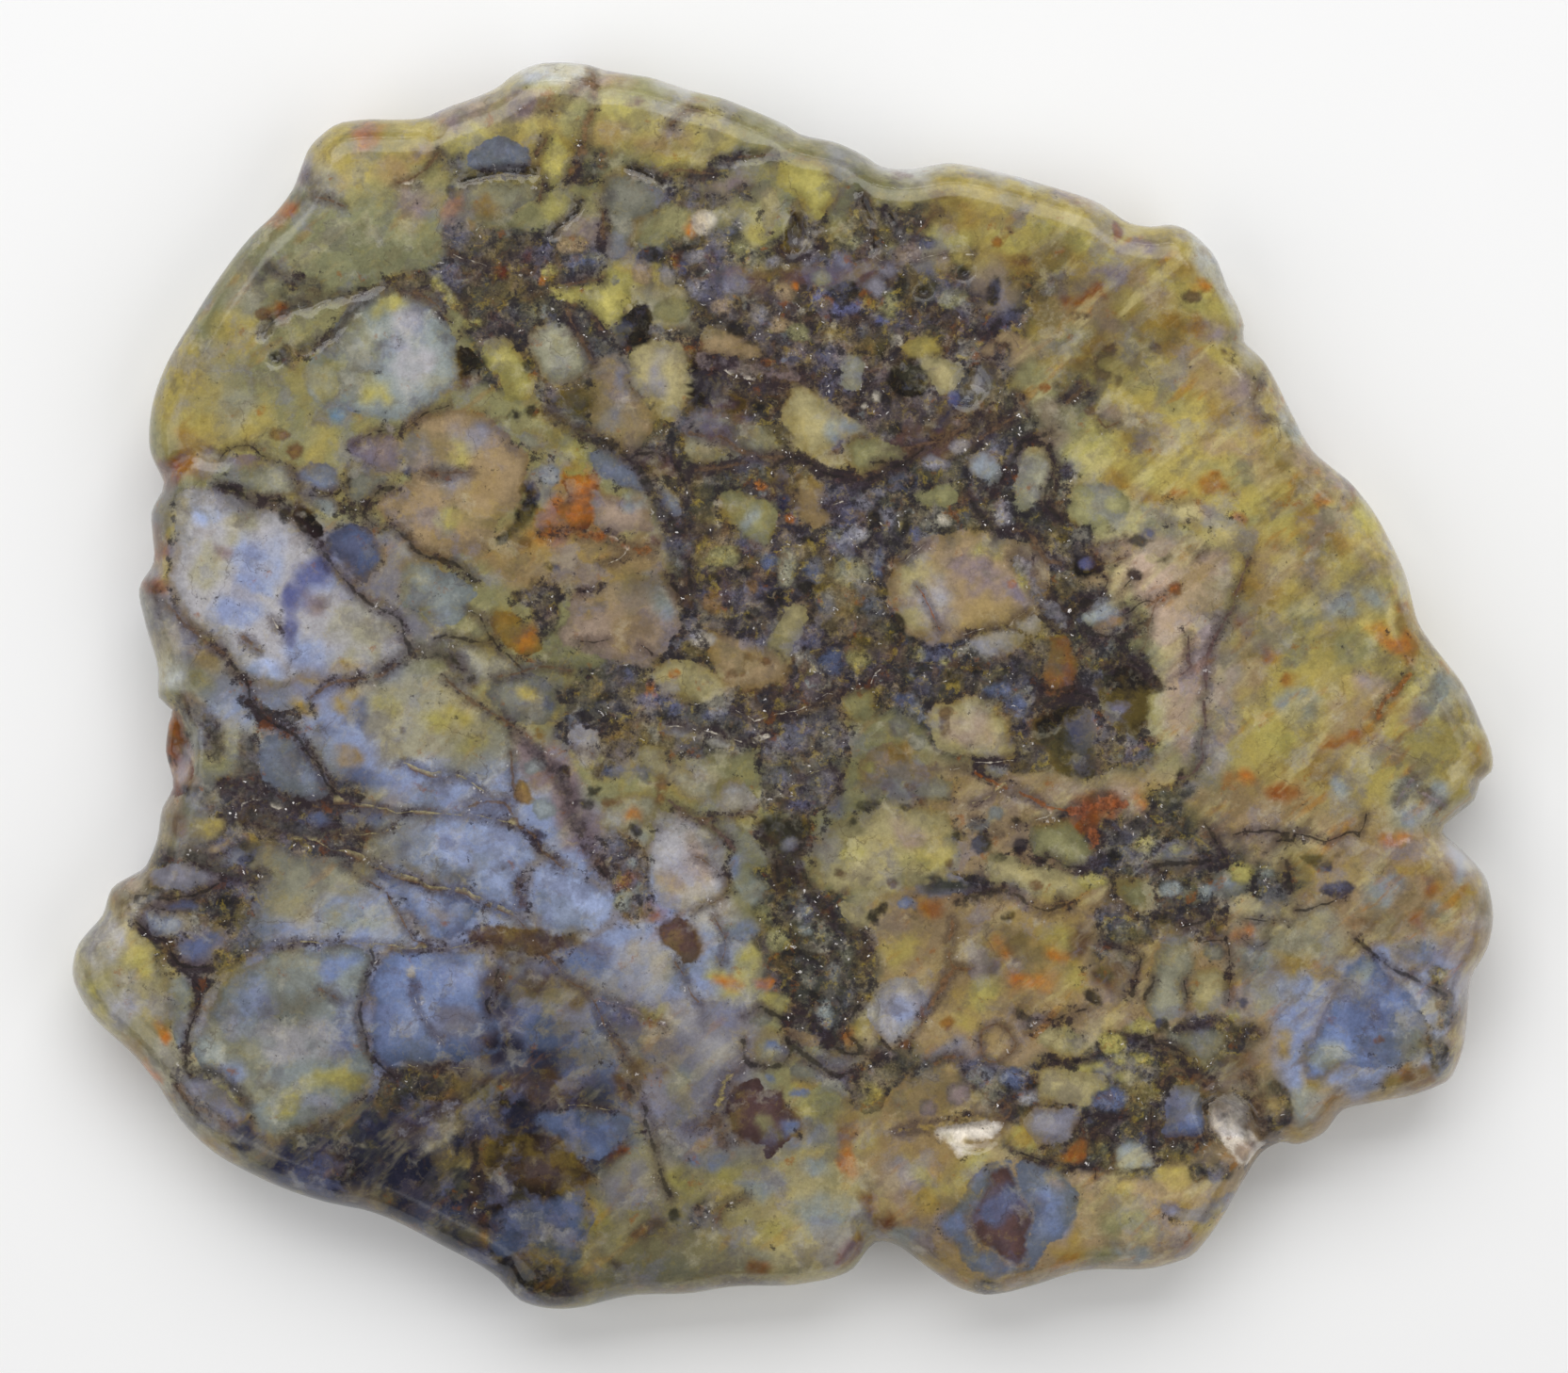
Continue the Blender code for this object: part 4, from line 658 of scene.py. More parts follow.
clasts("matrix", "2.5,-20.3 4,-20 6,-19.8 6.3,-20.6 5.5,-21.3 5,-22.4 4.3,-22.5 3.5,-22 3.2,-21.2")
crumbs("navy", "3.8,-21.6,.4,.3")
clasts("purple brown", "-2.6,-21 -1.8,-20.6 -1.1,-20.7 -.8,-21.3 -.3,-21.1 .1,-21 .3,-22 1,-22.6 1.5,-23"
       " .6,-23.6 0,-24.2 -.8,-24.8 -1,-24.2 -2.2,-23.6 -3,-22.6 -2.9,-21.8")
clouds("blue", "1,-23.4,.9,.5 -3.6,-24.6,1,.6")
clouds("olive", "-.8,-23.3,.6,.4")
veins("umber", 0.5, "-5,-23.3 -4,-23.1 -3.2,-22.4", "-3.3,-23 -3,-23.9")
veins("mustard", 0.4, "-3.4,-21.9 -3,-20.8 -2.2,-20.3")
veins("umber", 0.16, "-5.6,-14.5 -5.2,-15.2 -4.9,-16 -4.5,-16.6", "-3.6,-12.2 -3,-13.4 -3.2,-14.6")
clasts("lilac white", "4.6,-16.5 5.3,-15.6 6.5,-15.3 7.6,-16 7.6,-17.2 6.8,-18.3 5.8,-18.9 4.8,-18"
       " 4.4,-17.2")
clouds("pale blue", "6.4,-17.2,.8,.9")
clouds("mustard", "3.8,-17.8,.7,1 6,-14,1.2,.8 9.6,-17.6,.8")
veins("brown", 0.32, "8.9,-12.3 8.7,-14.2 8.9,-14.9 8.5,-15.7 7.9,-16.6 6.9,-18.2 6.4,-18.9", "8.9,-14.8"
      " 9.7,-14.9", "8,-19.8 8.6,-19.5 9.4,-19.5")
clouds("rust", "8,-11.7,1.1,.5")
crumbs("blue", "6.6,-11.5,.55,.35")
clasts("lilac grey", "6.3,-11.2 7,-10.5 8.2,-10.1 9.3,-10.2 10.8,-10.7 9.5,-11 7.5,-11.1")
clasts("cream", "3.2,-11.3 4.2,-11.6 5,-11.9 4.3,-13 3.6,-12.6 3.1,-12")
crumbs("black", "4.8,-12.2,.3,.45 5.3,-11.6,.15,.3 6.9,-12.1,.4,.2")
clouds("rust", "3.7,-23.3,.6,1 5.7,-22.6,.6,.9 6.6,-21.6,.4 8.2,-21.3,.35")
clouds("lilac grey", "5,-20.4,.9,.6 8.6,-19.4,.8,.5 6.4,-25,1.2,1")
clouds("yellow", "4.2,-21.6,.9,.6 5.2,-24,.6,.8 7.4,-26,1,.5")
clouds("brown", "3.4,-22.6,.5,1 7,-20.8,.8,.4")
clouds("orange", "3.6,-18.2,.4,.4 3.7,-24.8,.35,.8 8.1,-25.1,.3,.7 6.1,-23.6,.4,.4")
crumbs("purple grey", "9.2,-21.4,.75,.7 7.6,-22.2,.45")
crumbs("grey tan", "6.1,-21.8,.5,.45 10.4,-22.2,.5,.35")
veins("ochre", 0.4, "6,-23.3 8,-23.2 10.5,-22.7")
clouds("orange yellow", "8.2,-24.2,.6,.8 9.6,-25,.8,.35 11.6,-23.9,.6,.5")
clasts("bright white", "8.1,-23.4 9.2,-22.9 10.6,-22.8 11.6,-23.1 11.1,-23.8 10.2,-24 9.8,-24.6"
       " 9.2,-24.7 8.8,-24.1")
clouds("yellow", "7.4,-24.3,1.6,1.1 9.5,-25.5,1.6,.7 12.6,-23.9,1,.7")
clouds("ochre", "9.9,-24.2,.3,.2 8.5,-24.7,.5,.3 6.6,-24.4,.9,.4")

# Lower right: rusty tan chalcedony broken by a black net, and a blue six-sided crystal zone.
areas("orange tan", 1.5, "9.5,-12 15.5,-12 16.2,-15 15,-18 10,-18 7.4,-15")
areas("orange tan", 1.2, "5,-20.4 9,-20 12,-23.6 9,-25.4 4.8,-25")
areas("yellow white", 1.5, "24.3,-11 29,-12 30,-14 27.6,-17 24.3,-17.2 23.6,-13")
areas("pale blue", 1.5, "26,-15.6 29,-14.6 34.6,-13 36,-15.4 34.8,-20 30,-21.4 26.4,-21.6 25.6,-18.6")
clasts("cream", "10.5,-8.9 11.5,-8.8 12.6,-9.2 14,-9.5 15.3,-10 16,-10.6 15.3,-11.2 14,-11.4 13,-11"
       " 11.8,-10.6 10.7,-10.2")
crumbs("brown", "13.4,-10.6,.3,.2 16.3,-19.2,.3,.25")
veins("black", 0.6, "9.3,-11.2 11.4,-10.9 12.4,-11.1", "12.4,-17.2 13,-17.7 13.1,-18.1")
veins("black", 0.35, "12.4,-11.1 13,-11.6 13.8,-11.8 14.6,-11.5", "14.6,-11.1 15.2,-11.6", "18.5,-15.2"
      " 18.4,-16.4", "19.5,-15.3 19,-16.5", "13.3,-17.7 14.2,-17.6 15.8,-17", "18.9,-18.9 20.4,-19"
      " 21.3,-19.5", "21,-12.6 22.2,-12.3")
veins("black", 0.2, "17,-13.6 18.6,-14.2 18.7,-15", "21.2,-15.5 21.2,-17", "23.3,-13.2 23.4,-15"
      " 23.3,-16.6", "22.2,-13.4 23.2,-13.4", "23.4,-12.3 25,-12.4 26.5,-12.4", "24,-13.2 24.8,-13.7"
      " 25.3,-13.4", "21,-17.9 22.4,-17.7", "18.1,-18.4 18.7,-18.6 19.5,-18.4", "14,-19.7 16,-19.6",
      "16.6,-22.6 17.4,-22.8 18.2,-22.6", "15.4,-23.4 15.5,-22.9 16.1,-22.6", "15.8,-23.6 16.8,-23.5"
      " 17.3,-24", "12.4,-24.6 14.4,-25 15,-25.4 16.4,-25.3 16.4,-25.9", "19.3,-22 19.4,-24.6 19.8,-25")
veins("umber", 0.2, "10.5,-18.2 10.4,-18.8 10.6,-19.5 11.2,-19.7 12,-19.3 12.3,-18.8 11.6,-18 11,-17.9"
      " 10.5,-18.2", "11.6,-21.8 12.1,-22.3 11.6,-22.8 11.1,-22.3 11.6,-21.8")
clasts("olive", "17.2,-10.2 19.1,-10.3 19.5,-11 19.2,-12 18.4,-12 17.8,-11.3")
clasts("dark moss", "16.3,-12 17.5,-11.5 18.3,-12.2 19.7,-13 19.2,-13.5 18,-13.8 16.8,-13.4")
clouds("yellow", "14.3,-13,1,.6 15.2,-15,.8,1.1 16.6,-20.6,1.5,.5 10.4,-16.2,.9")
clouds("orange", "14.3,-13.8,.8,.4 13,-15.6,1.2,.7 11.6,-13.6,.7,.5")
clouds("umber", "15.4,-13.3,.7,.4 12.3,-13.3,.4,.7 11,-14.8,.4,.3")
crumbs("white", "11.8,-12.3,.14 18.6,-12.7,.12 13.2,-12.6,.1")
clasts("pink tan", "16.1,-15.2 16.9,-14.2 17.6,-13.9 18.3,-14.3 18.4,-15.3 18.1,-16.4 17.2,-16.8"
       " 16.5,-16.2")
clouds("rust", "17.4,-15,.7")
crumbs("black", "16.1,-16.3,.55,.35,-35 19.9,-17.9,.4,.25 24.1,-16.8,.22 13,-21,.4,.2 11.8,-12.1,.3,.2"
       " 20,-12.2,.4,.3 22.8,-12.9,.3,.2")
clasts("pale green", "19.7,-13.5 20.8,-13.2 21.6,-13.9 21.7,-15.2 21.3,-16.6 20.7,-17.5 19.7,-17.5"
       " 19,-16.9 19.2,-15")
clasts("cream", "21.7,-15.1 22.7,-14.9 23.2,-15.2 23.2,-16.5 22.7,-17.2 21.7,-17.2 21.3,-16.3",
       "13.3,-18.8 14,-18.2 15,-18 15.9,-18.5 16.2,-19 15.6,-19.5 14.4,-19.5", "13.4,-20.5 14.5,-20"
       " 16,-20.2 17,-20.7 16,-21.9 14.5,-22 13.5,-21.8")
crumbs("olive grey", "22.6,-14,.5 10.3,-20.4,.7,.5 20.6,-18.6,.4,.3")
clouds("orange", "24.1,-13,.5")
crumbs("yellow", "23.7,-17.3,.45,.35 18.3,-19.6,1.1,.35 18.9,-18,.8,.45 17.2,-18.8,.7,.6")
crumbs("slate blue", "12.2,-20.6,.8,.7 17.2,-21.8,1,.7")
clasts("lilac grey", "12.8,-22.6 13.6,-22.2 15.1,-22.2 15.6,-22.7 15.3,-23.3 15,-24 14,-24.1 13,-23.8"
       " 12.6,-23.2")
crumbs("lilac white", "13,-21.7,.55,.28")
clouds("rust", "15.2,-24.1,.6,.3")
clasts("slate blue", "20.1,-21.3 20.8,-20.9 21.6,-21 22,-21.8 22.3,-23.5 21.4,-23.8 20.2,-23.8"
       " 19.8,-23.2")
clouds("blue", "21.5,-21.8,.5,.6 21.6,-23.2,.6,.5")
veins("umber", 0.32, "20.3,-23.9 22.3,-23.6", "19.9,-21 20.2,-20.5 21,-20.3 22.6,-21")
clouds("purple brown", "22.3,-19.8,1.1,1.3")
clouds("brown", "23.7,-20.2,1.1,.5")
# The vug is lined with white crystals; the dark brown band along its right side is painted shade, where its
# wall lies in shadow.
veins("umber", 0.7, "24.4,-20.7 24.9,-21.7 25,-22.8 25.6,-23.8 26,-24.2")
clasts("bright white", "22.3,-22.4 23,-21.9 24,-21.5 24.6,-22 24.4,-23 25,-23.8 25.5,-24.4 24.8,-25"
       " 24,-25 23.3,-24.4 22.8,-23.6 22.4,-23")
clouds("pink tan", "24.4,-24.3,.5,.8,-45 23.4,-22.6,.3,.8,-45")
clouds("green matrix", "22.4,-25.3,1.5,.8 25.8,-22.3,.7,1.6")
clasts("blue", "29.9,-14.6 30.8,-14.2 31.3,-14.5 32,-15.3 33,-16 33.4,-17 33.8,-18 33.5,-19.2 32.6,-19.9"
       " 31,-20 29.5,-20 28.3,-20.5 27.3,-20.2 27.4,-19 27.9,-18 28.4,-17 28.9,-16 29.4,-15.2", "32,-14"
       " 33,-13.7 34,-13.8 34.2,-14.3 33.8,-14.7 32.6,-14.7")
clouds("slate blue", "30.6,-16.6,1.4,1.4 31.4,-18.4,1.4,1")
clouds("lilac", "28.6,-19.6,1,.7 32.8,-19,.8,.9 30.2,-15,.6,.4")
crumbs("rust", "28.8,-17.6,.3,.2 31.2,-18.7,.25,.15")
veins("black", 0.36, "30,-13.4 31.3,-14.3 32,-14.9 33,-15.3 34.8,-16.3")
clouds("dark moss", "34.6,-15.4,.6,.9 34.7,-17,.5,1.4 34.3,-19,.6,1.2")
crumbs("white", "32.3,-15.2,.1")
clouds("pink tan", "35.7,-18,.7,1.4")
clouds("ochre", "27,-14.9,1.3,.5 28.4,-14.9,.9,.5 26.3,-18.8,.5,1.1 28,-21.3,.6,.5 32,-21.4,1.4,.4"
       " 27.4,-23.6,.7,.4")
clouds("brown", "33.6,-20.8,.7 31,-12.4,1,.3")
clouds("lilac", "27.4,-22,.9,.9 25,-14.5,.6,.9")
clouds("green matrix", "21,-9.2,3.4,1.2 17.6,-13.4,1,2.6 22.4,-18.6,2.6,1.2 25.4,-10.4,2,.7 9,-10.4,3,.6")
clasts("olive grey", "19.6,-8.4 21,-8.2 21.6,-9 20.8,-9.9 19.4,-9.6", "22.6,-9.8 24,-9.6 24.6,-10.6"
       " 23.4,-11.4 22.2,-10.8", "21,-18.4 22.2,-18 23,-18.8 22.2,-19.6 21,-19.4")

# Lower left: a cream lobe on the rim, black arches, and a big round clast like an eye.
clouds("cream", "-35.2,-14,2,2.5 -34.6,-17.6,1.5,1.5")
clouds("yellow", "-35.8,-16.6,1.2 -33.6,-14.6,.8,.6")
clouds("pale green", "-36.3,-12.8,1,.8")
clouds("lilac white", "-35.4,-13.6,.9,1.2 -34.6,-16.4,.8,1.2 -33,-12,.6,.8")
clouds("deep mustard", "-35.6,-11.6,1,.5 -34.2,-19.6,1.4,.5,-50 -32.6,-22,1.4,.5,-60"
       " -30.2,-24.6,1.4,.5,-35")
clouds("pink tan", "-34.1,-9.9,.8,1.1")
clouds("orange", "-33.2,-20.4,.6,.4,-40 -32.4,-18.4,.3,.7")
clasts("lilac grey", "-33.3,-10 -32.3,-9.3 -31,-9.4 -29.5,-10.1 -30.3,-10.5 -31.5,-10.9 -33,-10.7",
       "-31.6,-20.6 -30.8,-20.5 -29.8,-21 -28.8,-21.6 -28.3,-22.4 -28.9,-22.9 -29.9,-22.4 -30.8,-21.7")
veins("dark moss", 0.4, "-32.4,-8.8 -31,-8.8 -30,-9.3 -29.2,-9.9 -27,-9.9", "-31.8,-20.3 -30.4,-20.2"
      " -29,-20.9 -28,-22")
veins("black", 0.28, "-34,-11 -32,-11.2 -30.4,-10.9 -29.5,-10.4", "-34.2,-11.4 -32.3,-11.8",
      "-33.8,-12.5 -33.2,-13.1 -32.3,-13.5 -31.9,-14.3 -31.4,-14.8 -30,-14.7", "-30.9,-15.6 -30.5,-16.3"
      " -31,-18.2 -31.3,-20.2")
clasts("slate blue", "-32.9,-11.6 -31.6,-11.25 -30.5,-11.6 -31.7,-11.95", "-31.8,-13.6 -30.6,-13"
       " -29.4,-12.6 -29.1,-13 -29.6,-13.9 -30.1,-14.5 -31.4,-14.7")
clasts("grey blue", "-33.6,-12.4 -32.6,-12 -31.5,-12.2 -31.3,-12.8 -32,-13.2 -33.2,-13")
clasts("green matrix", "-28.6,-11.8 -27.8,-11.8 -27.9,-12.8 -27.3,-13.4 -27.6,-13.9 -28.6,-14.5"
       " -29.4,-15.1 -30,-16.3 -30.2,-15.6 -29.3,-13.9 -28.9,-13")
clasts("lilac", "-32.2,-15.3 -31.4,-15.1 -30.8,-15.9 -30.7,-16.8 -31,-18 -31.5,-18.9 -32,-18.2"
       " -32.3,-16.8")
crumbs("black", "-30.8,-17.2,.3,.5 -28,-9.1,.5,.3 -29.2,-11.4,.4,.3 -27.4,-10.6,.3,.2")
veins("umber", 0.4, "-31.5,-21 -31,-21.8 -30,-22.7 -29.2,-23.2")
crumbs("navy", "-28.4,-24.2,.7,.35")
clasts("lilac", "-29.6,-16 -28.5,-14.9 -27,-14.2 -25.2,-13.8 -22.4,-13.8 -21.6,-14.5 -21.9,-16"
       " -22.1,-17.5 -21.4,-19.4 -21.8,-21 -23,-22.2 -25,-23.3 -27,-23.8 -28.3,-22 -29.5,-20.8"
       " -30.8,-19.8 -30.4,-18")
clouds("pale blue", "-28,-16,1.2,1.5 -28.8,-20.5,.8,.5")
clouds("olive grey", "-25.8,-16.5,1.6,1.4 -26,-18.2,1.2,.5")
clouds("blue", "-23.3,-14.7,1.2,.7 -22.8,-18,.6,1.2")
clouds("lilac white", "-25.3,-18.7,2.2,.8 -24.2,-22.5,1,.5 -29,-17.8,.6,1")
clouds("pale green", "-28.2,-19.4,1.4,.8 -27.4,-21,1,.6")
clouds("yellow", "-26.2,-22,1.1,.6,35 -24.4,-21,1.2,.6,15 -22.8,-20.6,.9,.6")
veins("umber", 0.3, "-24.2,-16 -23.4,-16.6")
veins("cream", 0.13, "-27.2,-13.8 -26,-13.6 -21.8,-13.6 -19.6,-13.8 -18,-13.9 -16,-13.4 -15,-13.5")
clouds("pale green", "-24,-10.6,2.2,.9 -26,-11.6,1,.6")
clouds("lilac", "-22.5,-12.3,1.6,.8")
clouds("blue", "-27,-12.6,.8,.6")
veins("black", 0.34, "-21.8,-13.7 -21.4,-14.6 -22,-16.5 -22,-17.7 -21.4,-19.5 -20.4,-20.7")

# Lower left of the middle: blue and indigo chalcedony cut by thin healed cracks.
clasts("blue", "-21.5,-9.5 -19.8,-10 -17,-11 -15.8,-11.5 -16,-12.2 -16.8,-12.8 -18,-13.5 -19.3,-12.7"
       " -20,-11.5 -20.9,-10.4", "-21.3,-15 -20.5,-14 -16,-13.9 -15.3,-14.8 -15.2,-17 -14.8,-18.2"
       " -15,-19.3 -17.5,-19.8 -20.8,-20 -21.4,-18.8 -21.6,-17")
clasts("blue white", "-19.5,-7 -16,-7 -14,-7.4 -12.8,-9 -13.6,-10 -14.2,-11.5 -15.8,-11 -19.5,-9.8"
       " -20.5,-9", "-13.2,-10 -12.4,-9 -11,-9.8 -9.2,-10.8 -9,-12 -10,-12.9 -12.6,-12.6 -13.2,-11.6")
clouds("pale blue", "-18.4,-8.6,1.4,.8 -15.6,-8.6,1,.9 -19,-11.6,.9,.6 -19.4,-17.6,1.1,1.4"
       " -16.4,-15.4,.9,.8 -12,-11.4,1,.6")
clouds("lilac grey", "-17.3,-17.7,1.5,1 -18,-12.4,.7,.4 -17,-9.8,.9,.3")
# The white crumb at -16.6,-26.7 is a painted glint.
crumbs("white", "-19.5,-15,.18,.32 -18.9,-16.4,.1 -17.7,-19.4,.4,.12 -22.1,-24.2,.3,.12 -15.6,-25.4,.1"
       " -16.6,-26.7,.1")
veins("white", 0.09, "-19.4,-15.6 -19.2,-16.8 -18.4,-18 -17.8,-18.8")
crumbs("umber", "-22.1,-9.2,.45,.2 -14.5,-9.5,.22")
veins("umber", 0.16, "-23,-9.6 -21.1,-10.6 -20.2,-11.9 -19.3,-13.3 -18.8,-13.6", "-13.3,-13 -11.8,-14.8"
      " -10.2,-16.3 -9.2,-18 -7.6,-20.3")
veins("purple brown", 0.45, "-13.9,-10.3 -13.7,-11.7")
veins("black", 0.34, "-10.4,-8.5 -9.3,-10", "-14.8,-15 -15.4,-16.8 -15.3,-17.3")
clasts("brown matrix", "-9.5,-8 -8.4,-7.8 -7,-8.8 -6.8,-10.6 -6.6,-12 -8,-12.4 -9,-11 -9.4,-9.6")
crumbs("lilac", "-8.4,-11.3,.6 -7.9,-9.3,.4,.3 -7.3,-10.6,.25,.4")
clouds("rust", "-7,-12.1,.6,.35 -8,-10.2,.4,.3")
clasts("purple brown", "-16.5,-13 -14.5,-12.8 -11.8,-12.9 -10.8,-13.2 -11,-13.9 -13,-14.2 -15.5,-13.7")
clouds("purple brown", "-13.5,-15.6,2.2,1.3 -11.4,-16.2,1.4,1 -14,-13.5,1.6,.6 -10.4,-14,1,.8"
       " -14.9,-19,1,.8")
clouds("navy", "-14.6,-17.3,1,1 -14.4,-19,.8,.8 -12.4,-19.7,1.2,.8")
clouds("blue", "-12.5,-18,2,1.3 -10.4,-20,1.4,.8 -10.6,-14.8,1.2,1")
clouds("lilac white", "-7.5,-14.5,1.7,1.2 -5.4,-17.4,1.2,.8 -3.6,-11.8,1,.8 -3.6,-19,1,1")
veins("purple grey", 0.3, "-9.6,-16.4 -7.5,-17.3 -6.2,-17.8")
clouds("deep blue", "-8,-17.3,.7,.4 -6.2,-19,.7,.5")
clouds("yellow", "-7,-16.8,.6,.3")
clasts("brown matrix", "-20.6,-20.2 -17.6,-20.2 -16.8,-20.9 -17.5,-21.6 -20.5,-22.3 -21.2,-21.8")
clasts("dark brown", "-15.6,-24.2 -14.8,-23.7 -12.8,-23.6 -11.4,-24.3 -9.9,-25.9 -12,-26.7 -15,-27.6"
       " -15.8,-25.5")
clouds("umber", "-15,-20.8,1.2,.5 -12,-21,2,.7 -13,-25.6,1.6,.8")
clouds("black", "-19.4,-21.4,1.2,.5 -15,-22,1.6,.8 -18.7,-26.6,.8,.6 -23,-25.4,1.6,.9 -12.6,-31.6,1.8,1"
       " -14.6,-31,1,.8")
# The first of these cream lines is a painted glint along a line.
veins("cream", 0.12, "-11.2,-22 -9,-22.2", "-19.6,-20 -16.4,-20.1")
veins("lilac grey", 0.45, "-19.9,-23.4 -18,-22.4 -17,-21.9")
clouds("navy", "-14.1,-22.8,1.1,.8 -20,-24.8,1.4,1 -25.4,-24.6,1.4,.8")
clasts("blue", "-12.8,-22.6 -11,-22.3 -8,-22.4 -7.6,-23.4 -9.2,-24.6 -10,-25 -11.8,-23.9", "-15,-27.7"
       " -12,-26.8 -10.6,-26.4 -10,-28 -11,-30.3 -13.3,-29.7 -15,-30")
clouds("slate blue", "-13,-28.8,1.4,1 -10.6,-23.4,1.2,.6 -25.2,-25.9,1,.5 -18.7,-28,1,.5"
       " -16.6,-28.4,.9,.5")
clouds("red rust", "-8.9,-24.6,.6,.3,30")
clouds("grey tan", "-22,-27,1.4,.6 -19.6,-29,1.2,.4")
clouds("lilac grey", "-18.2,-23.8,1,.9 -8,-26.5,1.6,1.3")
clouds("orange", "-15.6,-28.8,.4,.25")
veins("black", 0.42, "-8.1,-21 -7.2,-22.2 -7.2,-22.9 -6.7,-24.5 -6.3,-25.8 -5.9,-26.8", "-16.2,-24"
      " -15.9,-26 -16.4,-27.6 -15.2,-28.4")
clouds("umber", "-7.2,-20.4,1,.4 -8.4,-21.4,.6,.4")

# Bottom: cream and olive-yellow chalcedony, with a second purple eye near the right notch.
clouds("yellow", "-9.5,-28,1,1 -3,-25.7,1.2,.6 -1,-28.4,1.4,.6 -5.4,-26,.6,.8")
clouds("purple brown", "-9.3,-30.1,.7,.35 -7.2,-28.8,1,.4")
clouds("pale green", "-6.4,-30.6,2.2,1 -1.6,-30,1.6,.7")
clouds("slate", "-4.6,-27.6,.7")
crumbs("black", "-5.3,-28.8,.2 -5.7,-27.8,.3,.4")
veins("umber", 0.26, "-3.5,-28.2 -3.1,-27.4 -1.8,-26.9", "-3,-31.5 -1,-31.8")
clouds("rust", "-1.1,-30.7,.6,.4 2.9,-29.8,.4")
clouds("lilac", "2.5,-27.8,1.5,.9 -1,-26.4,1.4,.6 1.6,-25.4,1,.5")
clouds("red rust", "3.9,-30,.7,.8 5.2,-28.2,.5,.8 4.3,-27.2,.4,.8")
clasts("grey blue", "9,-27.5 9.8,-26.2 10.6,-25.3 12,-25 13.5,-25.1 14.8,-26 15.4,-27 15.2,-28.3"
       " 14,-29.5 13,-30.6 11.5,-31 10,-30.6 8.8,-29.4 8.3,-28.4")
clouds("blue", "9.2,-28.2,.9,.8 13.9,-27.6,.8,1.2")
clasts("purple brown", "10.9,-25.5 11.8,-25.3 12.6,-26.8 13,-27.8 12.9,-29 12.8,-30.2 12,-30.6"
       " 11.2,-29.8 9.7,-28.4 10.5,-26.4")
clouds("slate blue", "11.2,-27.2,.8,.7")
clouds("slate", "10.8,-31.8,.9,.5")
clouds("ochre", "15.4,-29.5,.6,1.3 14.4,-29.9,.5,.4 7.4,-27,.8,.5 8,-30.4,.7,.4")
clouds("olive", "18,-28.5,1.8,1 16.8,-30.4,1.2,.5")
clasts("lilac grey", "19.5,-27 21,-27.5 22.5,-27.1 24.2,-26.8 23.6,-28 20.3,-28")
clouds("mustard", "22.8,-28.7,.9,.5 20.2,-25.8,1.2,.5 17.4,-26.6,.9,.6")
clouds("lilac", "18.3,-29.7,.9,.5 18.6,-24.6,.9,.6 6.4,-28.8,.8,.6")
clouds("pink tan", "15.5,-25.8,1,.5 6.2,-26.2,.9,.7")

# Where the chalcedony is clear to a greater depth it looks darker, and where it is cloudy it looks
# paler: by how much, and the ovals. The first three pale ovals of the last row, over the upper left
# and the top, are also painted sheen, the shine of the polish there.
tone_and_sheen = [
    (-0.34, "-19,-20,9,6,-20 -13,-27,10,6,-20 -27,-17,7,5,-30"),
    (-0.38, "-12,-20,9,8,-20 -16,-28,10,6,-15 -23,-25,8,5,-25 -5,-29,7,5"),
    (-0.30, "-11,-30,7,5 -17,-24,7,5 -10,-18,6,5 -3,-25,6,5"),
    (-0.22, "-15,-10,9,5,-20 -4,-20,6,5 -9,-32,8,4 3,3,8,6 12,-6,6,5 18,-13,6,5 18,19,5,4 7,-29,7,4"),
    (-0.18, "5,-5,7,6 9,-13,6,5 -20,4,8,6 -8,3,7,5 26,-14,8,5 14,20,6,5 -16,-28,9,7 -12,-18,7,6"),
    (0.18, "32,3,7,9 22,10,5,8 20,-28,8,5 -35,-15,5,7 30,6,6,9 24,14,6,5"),
    (0.30, "-22,25,8,6 -11,19,5,5 -12,31,12,4 19,1,6,10 13,11,8,7 19,6,6,6 18,-25,5,5"),
]


